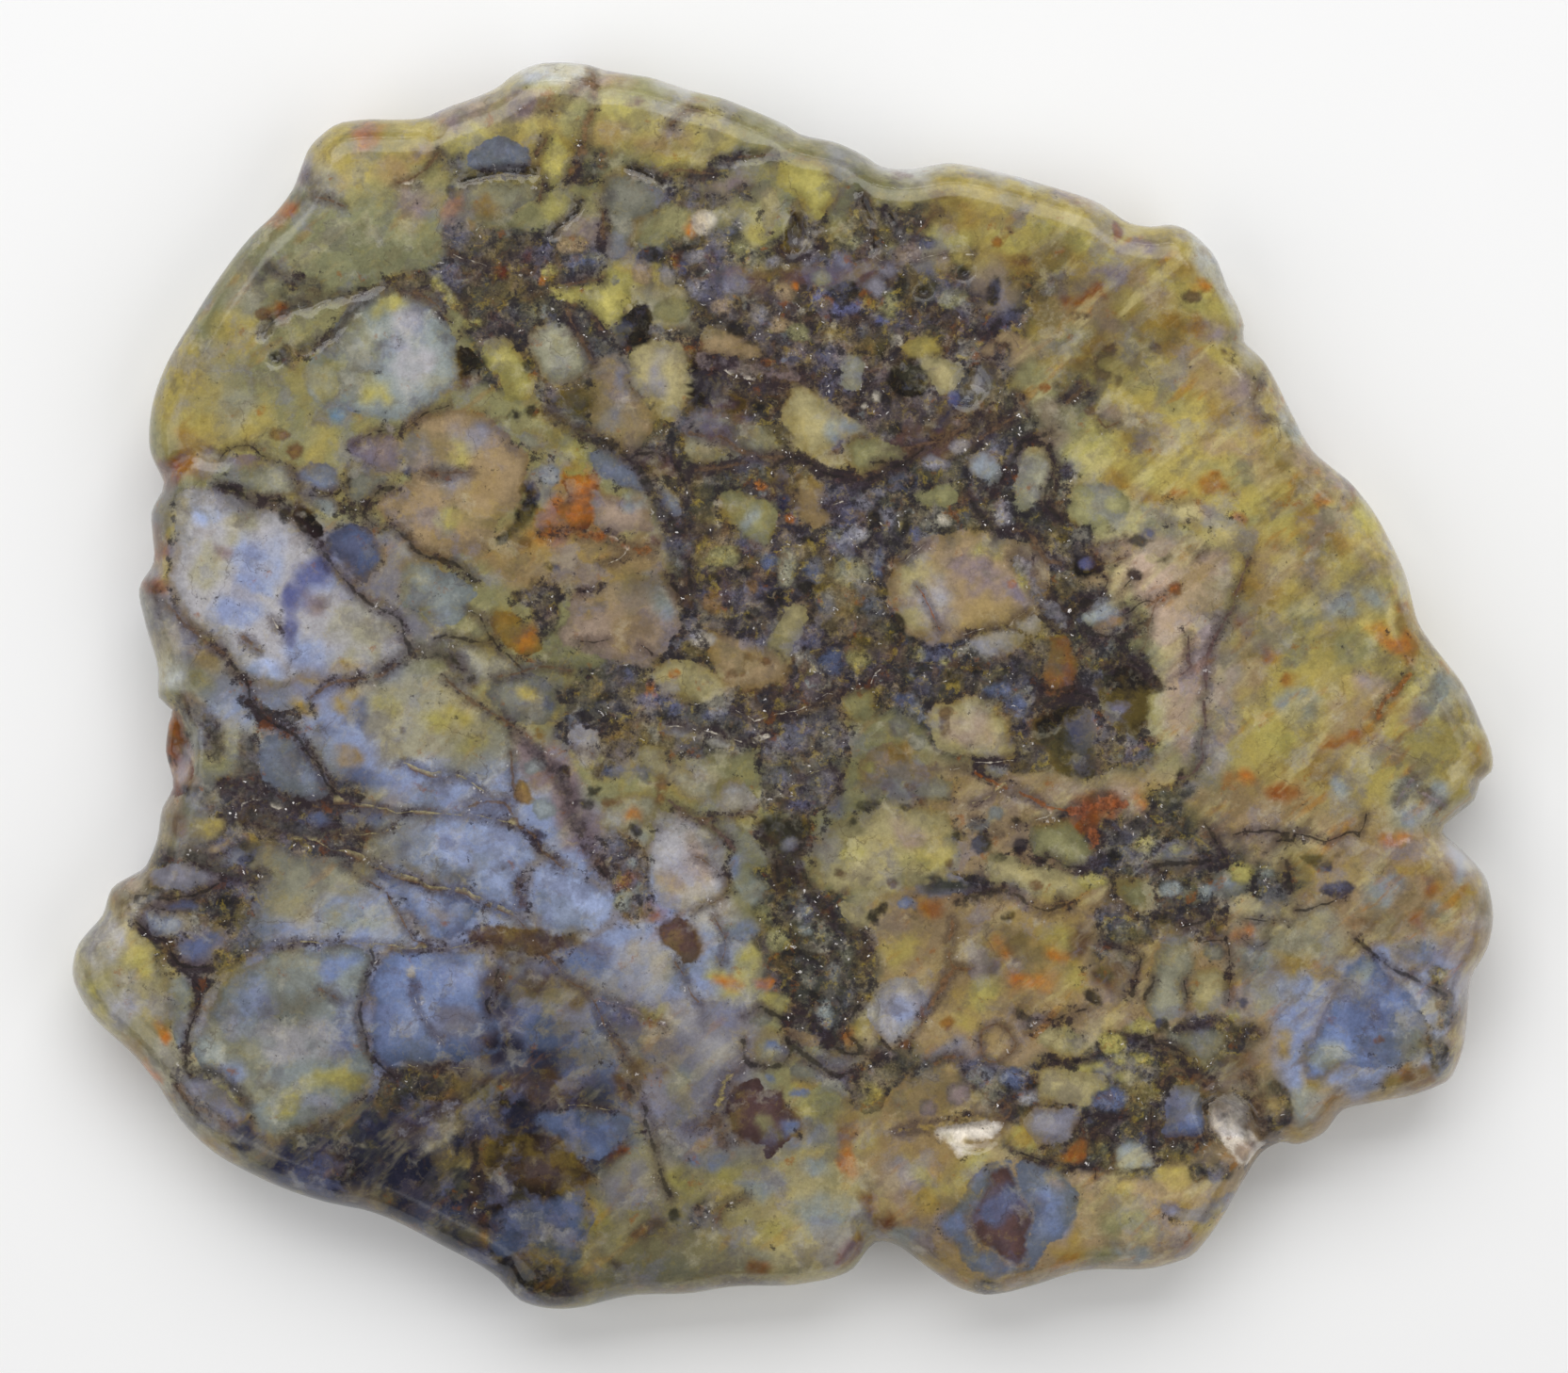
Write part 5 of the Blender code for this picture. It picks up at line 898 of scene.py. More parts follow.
# Cracks, furrows and vugs of the slab: where the rim's bumps were pressed together the stone keeps
# open slits and furrows, the big vug at the lower right is lined with crystals, and a flake and a
# bite have come off the rim. Each slit has its half width, its depth and its path, in mm.
slits = [
    (0.30, 0.75, "-16.6,26.5 -15.4,26.9 -14.3,26.95 -13.1,26.8"),
    (0.26, 0.60, "-12,23.6 -11.4,24.3 -10.8,25.1"),
    (0.26, 0.55, "-8,27.1 -7.1,26.75 -6.3,26.2"),
    (0.40, 0.35, "-3.2,27.4 -1.9,27.7 -0.4,27.7"),
    (0.20, 0.50, "4,25.9 4.5,24.7 4.9,22.7"),
    (0.17, 0.45, "5.3,25 5.8,24.1 5.9,23.5"),
    (0.45, 0.40, "-27.4,18.3 -26.4,19.4 -24,20.1 -21,21"),
    (0.35, 0.30, "-24.9,17.6 -23.3,18.6 -22.3,19.7"),
    (0.8, 0.6, "-33.2,10.6 -31,12 -29.3,11.8 -28,12.6 -27,12"),
    (0.8, 0.5, "-27.4,25.1 -25.6,24.3"),
    (0.9, 0.55, "-18.9,30.5 -18.4,29 -19.3,27"),
    (0.9, 0.5, "-9.5,33 -9.6,31.2 -10.4,29.6"),
    (0.9, 0.45, "4.9,28.1 5.5,26.6"),
    (0.9, 0.5, "18.6,24.8 18.2,23.2"),
    (0.8, 0.45, "24.9,18.4 22.9,17.7"),
    (1.0, 0.7, "35.5,-7.8 33,-7.7 30.6,-7.1"),
    (1.0, 0.75, "4.9,-30 4.3,-27.6 4,-25.4"),
    (0.9, 0.55, "-15.4,-32 -13.6,-29.8"),
    (0.9, 0.5, "-36.6,-11.6 -34,-12.6"),
    (0.8, 0.5, "-33.8,6.4 -31.6,6"),
    (0.8, 0.5, "29.9,-23.4 28.9,-21.4"),
]
# Each hollow has its depth, its roughness and its oval.
hollows = [
    (1.9, 0.30, "23.5,-23.1,2.5,1.6,-48"),
    (1.0, 0.25, "25.2,-24.9,1.4,1.1,-48"),
    (1.3, 0.25, "-31.9,-3.5,2.3,1.5,90"),
    (0.45, 0.12, "9.9,-23.7,1.9,.95,-8"),
    (0.55, 0.15, "9.8,15.6,1.5,1.2,60"),
    (0.5, 0.0, "9.6,21.6,.65,.45,30"),
    (0.5, 0.0, "7.4,20.6,.6,.45"),
    (0.4, 0.0, "-26.6,17.1,.6,.5"),
    (0.8, 0.15, "0.7,23.7,1.4,.6,82"),
]


def from_line(points, line, closed=False):
    """How far each point is from a line of straight runs."""
    starts = np.asarray(line)[:, :2]
    ends = np.roll(starts, -1, axis=0)
    if not closed:
        starts, ends = starts[:-1], ends[:-1]
    along = ends - starts
    square = np.maximum((along**2).sum(axis=1), 1e-12)
    offset = points[:, None, :] - starts[None]
    share = np.clip((offset * along).sum(axis=2) / square, 0.0, 1.0)
    return np.sqrt(((offset - share[..., None] * along) ** 2).sum(axis=2)).min(axis=1)


def nearest(points, line):
    """Which point of the line is nearest to each point."""
    return np.linalg.norm(points[:, None] - line[None, :, :2], axis=2).argmin(axis=1)


def within(points, loop):
    """Whether each point lies inside the loop, by counting how often a line to the right crosses it."""
    x, y = points[:, 0, None], points[:, 1, None]
    x0, y0 = loop[:, 0], loop[:, 1]
    x1, y1 = np.roll(x0, -1), np.roll(y0, -1)
    level = np.where(np.abs(y1 - y0) < 1e-9, 1e-9, y1 - y0)
    crosses = ((y0 > y) != (y1 > y)) & (x < x0 + (y - y0) * (x1 - x0) / level)
    return crosses.sum(axis=1) % 2 == 1


CHUNK = 4000
# Tumbling leaves the polished face uneven by this much.
POLISH_SWELL = 0.10
# A slit of more than this half width is a furrow, which starts at the rim and fades inwards.
FURROW = 0.5


def in_chunks(measure, points, *rest):
    """Runs a measure over many points, a few thousand at a time, to spare memory."""
    firsts = range(0, max(1, len(points)), CHUNK)
    return np.concatenate([measure(points[i : i + CHUNK], *rest) for i in firsts])


def ease(share):
    """0 up to 0, 1 from 1, and smooth between."""
    share = np.clip(share, 0.0, 1.0)
    return share * share * (3.0 - 2.0 * share)


def waves(points, size, seed):
    """A smooth random value from -1 to 1 at each point, with swells of about the size in mm."""
    return np.array([noise.noise(Vector((x / size, y / size, seed))) for x, y in points[:, :2]])


def from_middle(points, x, y, across, high, turn):
    """How far each point is from an oval's middle, where 1 is the oval's line."""
    dx, dy = points[:, 0] - x, points[:, 1] - y
    return np.hypot((dx * math.cos(turn) + dy * math.sin(turn)) / across,
                    (dy * math.cos(turn) - dx * math.sin(turn)) / high)


def natural(points, closed):
    """A given line made smooth and then uneven, as a border that grew or broke is."""
    line = curve_through(points, 0.3, closed)
    bend = np.column_stack([waves(line, 1.6, 11.0), waves(line, 1.6, 12.0)])
    crumple = np.column_stack([waves(line, 0.5, 13.0), waves(line, 0.5, 14.0)])
    return line + 0.22 * bend + 0.10 * crumple


def sunk(points):
    """How deep the upper face lies below the full thickness."""
    swell = np.sin(points[:, 0] / 9.0 + 1.3) * np.cos(points[:, 1] / 11.0 - 0.4)
    drop = POLISH_SWELL * (0.5 + 0.5 * swell)
    for half_width, depth, text in slits:
        line = natural(path(text), False)
        reach = np.ptp(line, axis=0).max() + 2
        near = np.flatnonzero(np.abs(points - line.mean(axis=0)).max(axis=1) < reach)
        if len(near) == 0:
            continue
        spot = points[near]
        uneven = 0.85 + 0.5 * waves(spot, 0.9, 7.0) + 0.3 * waves(spot, 0.4, 8.0)
        far = from_line(spot, line) / (half_width * np.clip(uneven, 0.4, 1.4))
        if half_width > FURROW:
            length = np.linalg.norm(line[0] - line[-1])
            uneven = uneven * ease(np.linalg.norm(spot - line[-1], axis=1) / (0.9 * length))
        drop[near] = np.maximum(drop[near], depth * np.clip(uneven, 0, 1.1) * (1 - ease(far)))
    for depth, rough, text in hollows:
        for oval in ovals(text):
            far = from_middle(points, *oval)
            near = far < 1.3
            spot = points[near]
            edge = far[near] + 0.16 * waves(spot, 0.7, 3.0) * min(1.0, rough * 8)
            deep = 1 - ease(edge**1.5)
            broken = rough * deep * (waves(spot, 0.45, 5.0) + 0.7 * waves(spot, 0.22, 6.0))
            drop[near] = np.maximum(drop[near], depth * deep + broken)
    return drop


# The polished face, the rim and the sawn underside as one closed skin. Rows of quads go round the
# rim, and points on every border and vein keep the markings sharp on the face.
for i, (kind, mineral, size, points) in enumerate(marks):
    if kind in sharp_kinds:
        marks[i] = (kind, mineral, size, natural(points, kind != "vein"))

FACE_STEP = 0.285
BASE_STEP = 0.6
DETAIL_GAP = 0.14
BASE_GAP = 0.3
FULL = 6.0
INSET = 0.5
# How far in the round of the edge reaches on each face, and the fullness of its curve.
UPPER_EDGE = 2.4
LOWER_EDGE = 2.0
BULGE = 2.1
STRETCH = 1.03
UPPER_ROWS = 8
LOWER_ROWS = 6
# Points on the rings round each hollow, and the gap that keeps the face under the solid's top.
RING_SHARES = (0.15, 0.3, 0.45, 0.6, 0.75, 0.9, 1.05)
RING_GAP = 0.2
TOP_GAP = 0.004
ahead = np.roll(rim, -1, axis=0) - np.roll(rim, 1, axis=0)
inward = np.stack([-ahead[:, 1], ahead[:, 0]], axis=1)
for turn in range(3):
    inward = (np.roll(inward, 1, axis=0) + 2 * inward + np.roll(inward, -1, axis=0)) / 4
inward /= np.linalg.norm(inward, axis=1)[:, None]


def rise(share):
    """The edge's rise from its waist: 0 on the outline, 1 where a face begins."""
    share = np.clip(share * STRETCH, 0.0, 1.0)
    return (1.0 - (1.0 - share) ** BULGE) ** (1 / BULGE)


def rim_rows(width, count):
    """Rows of points from the waist inwards, at even steps round the edge's curve."""
    last = math.acos((1 - INSET / width * STRETCH) ** (BULGE / 2))
    rows = []
    for step in range(1, count + 1):
        share = (1 - math.cos(last * step / count) ** (2 / BULGE)) / STRETCH
        rows.append(rim[:, :2] + inward * share * width)
    return rows


def spread(taken, points, gap):
    """Adds the points that keep a gap to all the points already taken."""
    cells = {}
    for x, y in taken:
        cells.setdefault((int(x // gap), int(y // gap)), []).append((x, y))
    around = [(a, b) for a in (-1, 0, 1) for b in (-1, 0, 1)]
    for x, y in points:
        column, row = int(x // gap), int(y // gap)
        close_by = [spot for a, b in around for spot in cells.get((column + a, row + b), ())]
        if all((spot[0] - x) ** 2 + (spot[1] - y) ** 2 >= gap * gap for spot in close_by):
            cells.setdefault((column, row), []).append((float(x), float(y)))
            taken.append((float(x), float(y)))


def filled(inside, details, detail_gap, step):
    """Points over the area inside a row of rim points, first on the details and then on an even grid,
    and the triangles between them. Neither comes close to the rim points."""
    gap = step * 0.62
    low, high = inside.min(axis=0), inside.max(axis=0)
    taken = [(float(x), float(y)) for x, y in inside]
    details = details[in_chunks(within, details, inside)]
    details = details[in_chunks(from_line, details, inside, True) > 0.8 * detail_gap]
    spread(taken, details, detail_gap)
    lines = enumerate(np.arange(low[1], high[1], step * math.sqrt(3) / 2))
    grid = np.array([(x, y) for row, y in lines
                     for x in np.arange(low[0] + (row % 2) * step / 2, high[0], step)])
    grid = grid[in_chunks(within, grid, inside)]
    grid = grid[in_chunks(from_line, grid, inside, True) > 0.7 * gap]
    spread(taken, grid, gap)
    edges = [(i, (i + 1) % len(inside)) for i in range(len(inside))]
    _, _, faces, origins, _, _ = delaunay_2d_cdt([Vector(p) for p in taken], edges, [], 1, 1e-6)
    return np.array(taken), [tuple(origins[i][0] for i in face) for face in faces]


upper_rows = rim_rows(UPPER_EDGE, UPPER_ROWS)
lower_rows = rim_rows(LOWER_EDGE, LOWER_ROWS)
borders = [np.empty((0, 2))]
for kind, mineral, size, points in marks:
    if kind in sharp_kinds:
        borders.append(points)
for half_width, depth, text in slits:
    if half_width < FURROW:
        line = natural(path(text), False)
        borders.append(line)
        for side in (-half_width, half_width):
            borders.append(line + np.array([0.0, side]))
for depth, rough, text in hollows:
    for x, y, across, high, turn in ovals(text):
        for share in RING_SHARES:
            count = max(8, round(math.tau * across * share / RING_GAP))
            borders.append(np.array(oval_line(x, y, share * across, share * high, turn, count)))
upper, upper_faces = filled(upper_rows[-1], np.concatenate(borders), DETAIL_GAP, FACE_STEP)
lower, lower_faces = filled(lower_rows[-1], np.empty((0, 2)), BASE_GAP, BASE_STEP)

RIM = len(rim)
upper_plan = np.concatenate([rim[:, :2]] + upper_rows[:-1] + [upper])
lower_plan = np.concatenate(lower_rows[:-1] + [lower])
plan = np.concatenate([upper_plan, lower_plan])
from_rim = in_chunks(from_line, plan, rim, True)
from_rim[:RIM] = 0.0
waist = rim[in_chunks(nearest, plan, rim), 2]
is_upper = np.arange(len(plan)) < len(upper_plan)
face_height = FULL - sunk(plan)
height = np.where(is_upper, waist + (face_height - waist) * rise(from_rim / UPPER_EDGE),
                  waist * (1.0 - rise(from_rim / LOWER_EDGE)))
height = np.minimum(height, solid_high[2] - TOP_GAP)
faces = []
first_row = np.arange(RIM)
upper_levels = [first_row + RIM * i for i in range(len(upper_rows) + 1)]
lower_levels = [first_row] + [len(upper_plan) + first_row + RIM * i for i in range(len(lower_rows))]
for levels, order in ((upper_levels, [0, 1, 2, 3]), (lower_levels, [1, 0, 3, 2])):
    for level, onward in zip(levels[:-1], levels[1:]):
        quads = np.column_stack([level, np.roll(level, -1), np.roll(onward, -1), onward])
        faces += quads[:, order].tolist()
shift = RIM * len(upper_rows)
faces += [[i + shift for i in face] for face in upper_faces]
shift = len(upper_plan) + RIM * (len(lower_rows) - 1)
faces += [[i + shift for i in reversed(face)] for face in lower_faces]

# Where the slice is cut deeper, the same bodies show a little to one side, because they slant.
LEAN = [0.25, -0.16]
slant = np.where(is_upper, 0.5 * (from_rim < 0.4), 1.0)
seen_at = plan + np.outer((FULL - height) * slant, LEAN)
loose = seen_at + 0.9 * np.column_stack([waves(seen_at, 2.6, 21.0), waves(seen_at, 2.6, 22.0)])
loose = loose + 0.45 * np.column_stack([waves(seen_at, 0.9, 23.0), waves(seen_at, 0.9, 24.0)])
patchy = np.clip(0.85 + 0.7 * waves(seen_at, 1.1, 25.0) + 0.5 * waves(seen_at, 0.5, 26.0), 0.15, 1.2)
ground = np.tile(np.array(linear(minerals["olive"]) + [0.0]), (len(plan), 1))
tint = {layer: np.zeros((len(plan), 3)) for layer in sharp_kinds}
vein_half = np.full(len(plan), 0.1)
depth_in = {layer: np.full(len(plan), -1.0) for layer in sharp_kinds}
clast_dark = np.zeros(len(plan))
# How far round a mark its depth is worked out.
REACH = 0.9
for kind, mineral, size, points in marks:
    colour = np.array(linear(minerals[mineral]))
    dark = 1.0 if mineral in matrix_minerals else 0.0
    if kind == "cloud":
        x, y, across, high, turn = size
        far = from_middle(loose, x, y, 1.25 * across + 0.2, 1.25 * high + 0.2, turn)
        near = far < 1
        weight = np.clip(ease((1 - far[near]) * 1.5) * patchy[near], 0, 0.95)[:, None]
        ground[near] += weight * (np.append(colour, dark) - ground[near])
        on_clast = (depth_in["clast"][near] > 0)[:, None]
        tint["clast"][near] += on_clast * weight * (colour - tint["clast"][near])
        continue
    points = np.array(points)
    where = loose if kind == "soft" else seen_at
    reach = size if kind == "soft" else REACH
    near = (where > points.min(axis=0) - reach) & (where < points.max(axis=0) + reach)
    near = np.flatnonzero(near.all(axis=1))
    if len(near) == 0:
        continue
    deep = in_chunks(from_line, where[near], points, kind != "vein")
    if kind == "vein":
        deep = size - deep
    else:
        deep = np.where(in_chunks(within, where[near], points), deep, -deep)
    if kind == "soft":
        weight = ease(0.5 + deep / size)[:, None]
        ground[near] += weight * (np.append(colour, dark) - ground[near])
        continue
    old = depth_in[kind][near]
    if kind == "vein":
        wins = deep > old
        depth_in[kind][near] = np.where(wins, deep, old)
        vein_half[near[wins]] = size
    else:
        wins = (deep > 0) | (deep > old)
        depth_in[kind][near] = np.where(wins, deep, np.minimum(old, np.maximum(-deep, 0.0)))
    tint[kind][near[wins]] = colour
    if kind == "clast":
        clast_dark[near[wins]] = dark

# Deeper and clearer stone looks darker and cloudier stone paler, and the pale ovals over the upper left
# also paint sheen there; the thin outer skin of the rim is pale and milky, and partly painted sheen.
for amount, text in tone_and_sheen:
    for oval in ovals(text):
        factor = (1.0 + amount * ease(1.0 - from_middle(loose, *oval)))[:, None]
        ground[:, :3] *= factor
        for layer in ("clast", "crumb"):
            tint[layer] *= factor
# The pale milky band along the rim is partly painted sheen: it is made strongest towards the upper right,
# where the lamps catch the rounded rim.
SHEEN_SKIN = 2.6
milky_sheen = ease(1.0 - from_rim / SHEEN_SKIN)
milky_sheen = milky_sheen * np.clip(0.45 + 0.5 * waves(plan, 3.5, 31.0) + 0.3 * waves(plan, 1.0, 32.0), 0, 1)
milky_sheen = milky_sheen * (0.12 + 0.78 * ease((plan[:, 0] + plan[:, 1] + 5) / 25))

mesh = bpy.data.meshes.new("polished_coprolite")
mesh.from_pydata((np.column_stack([plan, height]) * MM).tolist(), [], faces)
for name, colours, alpha in (("ground", ground[:, :3], np.ones(len(plan))),
                             ("clast", tint["clast"], np.ones(len(plan))),
                             ("crumb", tint["crumb"], np.ones(len(plan))),
                             ("vein", tint["vein"], vein_half)):
    layer = mesh.attributes.new(name + "_tint", "FLOAT_COLOR", "POINT")
    layer.data.foreach_set("color", np.column_stack([colours, alpha]).astype(np.float32).ravel())
for name, values in (("clast_depth", depth_in["clast"]), ("crumb_depth", depth_in["crumb"]),
                     ("vein_depth", depth_in["vein"]), ("matrix_share", ground[:, 3]),
                     ("clast_matrix", clast_dark), ("milky_sheen", milky_sheen)):
    layer = mesh.attributes.new(name, "FLOAT", "POINT")
    layer.data.foreach_set("value", values.astype(np.float32))
mesh.shade_smooth()
mesh.validate()
stone = bpy.data.objects.new("polished_coprolite", mesh)
bpy.context.scene.collection.objects.link(stone)
print("stone triangles", sum(len(face.vertices) - 2 for face in mesh.polygons))

# Agatised dung: chalcedony and quartz, index 1.54, tumble-polished until it mirrors the lamps. The
# tints come from the markings; the finer mottle, hair cracks and crumbs are noise, with sizes in mm.
agate = bpy.data.materials.new("polished agate: chalcedony in a dark fossil matrix")
agate.use_nodes = True
tree = agate.node_tree
tree.nodes.clear()


def add(kind, inputs=(), out=0, **settings):
    """Adds a node and gives one of its outputs. Inputs come in order, or in a dict by name or number:
    a socket is joined and a value is set."""
    made = tree.nodes.new("ShaderNode" + kind)
    for name, value in settings.items():
        setattr(made, name, value)
    for name, value in (inputs if isinstance(inputs, dict) else dict(enumerate(inputs))).items():
        if isinstance(value, bpy.types.NodeSocket):
            tree.links.new(value, made.inputs[name])
        elif made.inputs[name].type == "RGBA":
            made.inputs[name].default_value = (*value, 1.0)
        else:
            made.inputs[name].default_value = value
    return made.outputs[out] if made.outputs else None


# A map range with these settings is 0 under its low level, 1 over its high one and smooth between.
smooth = {"interpolation_type": "SMOOTHSTEP"}


def total(start, *parts):
    """The start plus each part times its weight. Any of them may be a socket."""
    for part, weight in parts:
        start = add("Math", (part, weight, start), operation="MULTIPLY_ADD")
    return start


def grain(size, detail, roughness, offset, where=None):
    """Noise with swells of about the size in mm, from 0 to 1."""
    spot = add("VectorMath", (where or place, (offset, offset * 0.7, offset * 1.3)))
    return add("TexNoise", {"Vector": spot, "Scale": 1 / size, "Detail": detail, "Roughness": roughness},
               "Fac")


def patches(low, high, *noise_values):
    """Patches where the noise is strong, from a low level to a high one."""
    return add("MapRange", (grain(*noise_values), low, high), **smooth)


def over(base, cover, strength, tint):
    """Lays a tint, a hex colour or a socket, over the base: cover says where and strength how thickly."""
    tint = linear(tint) if isinstance(tint, str) else tint
    return add("Mix", {0: total(0.0, (cover, strength)), 6: base, 7: tint}, 2, data_type="RGBA")


def times(tint, low, high, amount):
    """Makes a tint darker and lighter between two factors."""
    factor = total(low, (amount, high - low))
    grey = add("CombineColor", (factor, factor, factor))
    return add("Mix", {0: 1.0, 6: tint, 7: grey}, 2, data_type="RGBA", blend_type="MULTIPLY")


place = add("VectorMath", {0: add("TexCoord", out="Object"), "Scale": 1000.0}, operation="SCALE")
painted = {name: add("Attribute", out="Fac", attribute_name=name)
           for name in ("clast_depth", "crumb_depth", "vein_depth", "matrix_share", "clast_matrix", "milky_sheen")}
for layer in ("ground", "clast", "crumb", "vein"):
    painted[layer] = add("Attribute", out="Color", attribute_name=layer + "_tint")

# Borders waver by a few tenths of a millimetre and are sharp in one place and soft in the next,
# because grains end there, not a drawn line.
fine = total(-0.5, (grain(0.7, 3.0, 0.55, 0.0), 1.0))
coarse = total(-0.5, (grain(1.6, 3.0, 0.6, 7.0), 1.0))
tiny = total(-0.5, (grain(0.22, 3.0, 0.6, 11.0), 1.0))
waver = total(0.0, (fine, 0.6), (coarse, 0.9), (tiny, 0.22))
blurry = patches(0.40, 0.60, 2.6, 2.0, 0.5, 9.0)
softness = total(0.05, (blurry, 0.17))
clast_edge = total(waver, (painted["clast_depth"], 1.0))
crumb_edge = total(painted["crumb_depth"], (waver, 0.75))
in_clast = add("MapRange", (clast_edge, total(0.0, (softness, -1.0)), softness), **smooth)
in_crumb = add("MapRange", (crumb_edge, -0.14, 0.14), **smooth)

# Veins swell and pinch in step with their width, so that hairlines stay whole and wide ones fray.
vein_half = painted["vein"].node.outputs["Alpha"]
wide = add("MapRange", (vein_half, 0.08, 0.28), **smooth)
pinch = total(-1.232, (grain(1.0, 4.0, 0.65, 17.0), 2.2), (fine, 0.6), (tiny, 0.6))
vein_edge = total(painted["vein_depth"], (pinch, total(0.12, (wide, 0.88))))
in_vein = add("MapRange", (vein_edge, total(0.005, (wide, -0.185)), total(0.065, (wide, 0.105))), **smooth)
vein_strength = total(0.66, (wide, 0.16))
beside_vein = add("MapRange", (total(waver, (painted["vein_depth"], 1.0)), -0.70, 0.05), **smooth)

swirl = add("TexNoise", {"Vector": place, "Scale": 1.1, "Detail": 4.0, "Roughness": 0.6}, "Color")
stirred = add("VectorMath", (place, add("VectorMath", {0: swirl, "Scale": 1.5}, operation="SCALE")))

# Clear chalcedony is drawn out into slanting streaks where it flowed, on the right most of all.
clear = painted["ground"]
matrix = add("MapRange", (total(painted["matrix_share"], (coarse, 1.5)), 0.25, 0.75), **smooth)
across = add("SeparateXYZ", (place,))
right = add("MapRange", (total(across, (coarse, 12.0)), 8.0, 17.0), **smooth)
slanted = add("Mapping", {"Vector": place, "Rotation": (0.0, 0.0, math.radians(40)),
                          "Scale": (2.8, 0.9, 1.0)}, vector_type="TEXTURE")
for low, high, strength, offset, code in (
    (0.51, 0.66, 0.42, 0.0, "745f3b"), (0.52, 0.66, 0.46, 5.0, "c2b88c"),
    (0.54, 0.68, 0.32, 9.0, "8f8a86"), (0.58, 0.70, 0.52, 14.0, "a06e20"),
):
    spot = add("VectorMath", (slanted, (offset, offset, 0.0)))
    streak = add("TexNoise", {"Vector": spot, "Scale": 0.7, "Detail": 4.0, "Roughness": 0.6}, "Fac")
    cover = add("MapRange", (streak, low, high), **smooth)
    clear = over(clear, cover, total(strength * 0.45, (right, strength * 0.55)), code)


def pellets(size, kinds, gap, offset):
    """Rounded bits of about the size in mm, in a net: their colour, and 1 inside a bit and 0 on the net."""
    spot = add("VectorMath", (stirred, (offset, offset, 0.0)))
    cells = {"Vector": spot, "Scale": 1 / size, "Randomness": 0.9}
    split = add("SeparateColor", (add("TexVoronoi", cells, "Color"),))
    ramp = add("ValToRGB", (split,))
    ramp.node.color_ramp.interpolation = "CONSTANT"
    stops = ramp.node.color_ramp.elements
    for i, mineral in enumerate(kinds):
        stop = stops[i] if i < 2 else stops.new(i / len(kinds))
        stop.position = i / len(kinds)
        stop.color = (*linear(minerals[mineral]), 1.0)
    wall = total(add("TexVoronoi", cells, feature="DISTANCE_TO_EDGE"), (fine, 0.45))
    return ramp, add("MapRange", (wall, gap, gap + 0.22), **smooth)


# The dark matrix: crushed plant bits, bone crumbs and pellets of 0.3 to 2 mm in black chert.
pellet_tint, pellet = pellets(1.8, ("olive grey", "purple grey", "grey tan", "slate", "olive",
                                    "purple brown", "lilac grey", "umber", "tan", "matrix"), 0.06, 0.0)
chip_tint, chip = pellets(0.7, ("umber", "slate", "black", "grey tan", "purple grey", "mustard",
                                "black", "lilac", "brown", "rust"), 0.12, 31.0)
crushed = clear
for size, low, high, strength, offset, code in (
    (1.7, 0.46, 0.58, 0.82, 91.0, "332d39"), (1.3, 0.53, 0.63, 0.58, 93.0, "87764a"),
    (1.0, 0.54, 0.64, 0.50, 95.0, "6c6a70"), (2.0, 0.55, 0.65, 0.55, 97.0, "664d35"),
):
    crushed = over(crushed, patches(low, high, size, 5.0, 0.72, offset, stirred), strength, code)
crushed = over(crushed, pellet, 0.36, pellet_tint)
sparse = patches(0.47, 0.56, 1.1, 5.0, 0.7, 37.0)
crushed = over(crushed, chip, total(0.0, (sparse, 0.60)), chip_tint)
crushed = over(crushed, total(1.0, (pellet, -1.0)), 0.42, "27252b")
base = over(clear, matrix, 0.9, crushed)

# Clasts: paler in the middle, and stained brown or grey towards the border.
clast_matrix = total(0.0, (painted["clast_matrix"], in_clast))
heart = add("MapRange", (total(clast_edge, (coarse, 1.4)), 0.0, 1.1), **smooth)
clast = times(painted["clast"], 0.74, 1.16, heart)
clast = over(clast, clast_matrix, 0.85, over(clast, 1.0, 0.6, crushed))
base = over(base, in_clast, 1.0, clast)
off_border = add("MapRange", (add("Math", (clast_edge,), operation="ABSOLUTE"), 0.05, 0.45), **smooth)
fringe = total(0.0, (total(1.0, (off_border, -1.0)), patches(0.46, 0.60, 3.0, 3.0, 0.5, 87.0)))
base = over(base, fringe, 0.40, "7f6734")
matrix = total(clast_matrix, (matrix, total(1.0, (in_clast, -1.0))))
crumb_heart = add("MapRange", (crumb_edge, 0.0, 0.4), **smooth)
base = over(base, in_crumb, 0.86, times(painted["crumb"], 0.72, 1.12, crumb_heart))

# Chalcedony is never one colour: wide stains drift through all of it, and small ones crowd in the
# matrix and beside the veins, while the clear stone between them stays calm.
busy = add("Math", (1.0, total(0.32, (beside_vein, 0.3), (matrix, 0.6))), operation="MINIMUM")
for size, low, high, strength, offset, code, crowding in (
    (3.6, 0.50, 0.64, 0.24, 13.0, "a99548", 1.0), (2.8, 0.51, 0.65, 0.32, 29.0, "7b80a0", 1.0),
    (4.4, 0.50, 0.62, 0.36, 33.0, "5c5b45", 1.0), (1.9, 0.55, 0.70, 0.24, 53.0, "cbc6b4", 1.0),
    (1.2, 0.55, 0.67, 0.45, 41.0, "6a4e30", busy), (0.7, 0.56, 0.68, 0.36, 57.0, "b09c3c", busy),
    (0.45, 0.56, 0.70, 0.50, 47.0, "93866e", busy), (2.2, 0.52, 0.66, 0.34, 59.0, "57505c", 1.0),
):
    stain = patches(low, high, size, 4.0, 0.6, offset, stirred)
    base = over(base, total(0.0, (stain, strength)), crowding, code)
swell = patches(0.25, 0.75, 0.42, 5.0, 0.75, 3.0)
base = times(base, 0.62, 1.38, total(0.5, (total(-0.5, (swell, 1.0)), busy)))
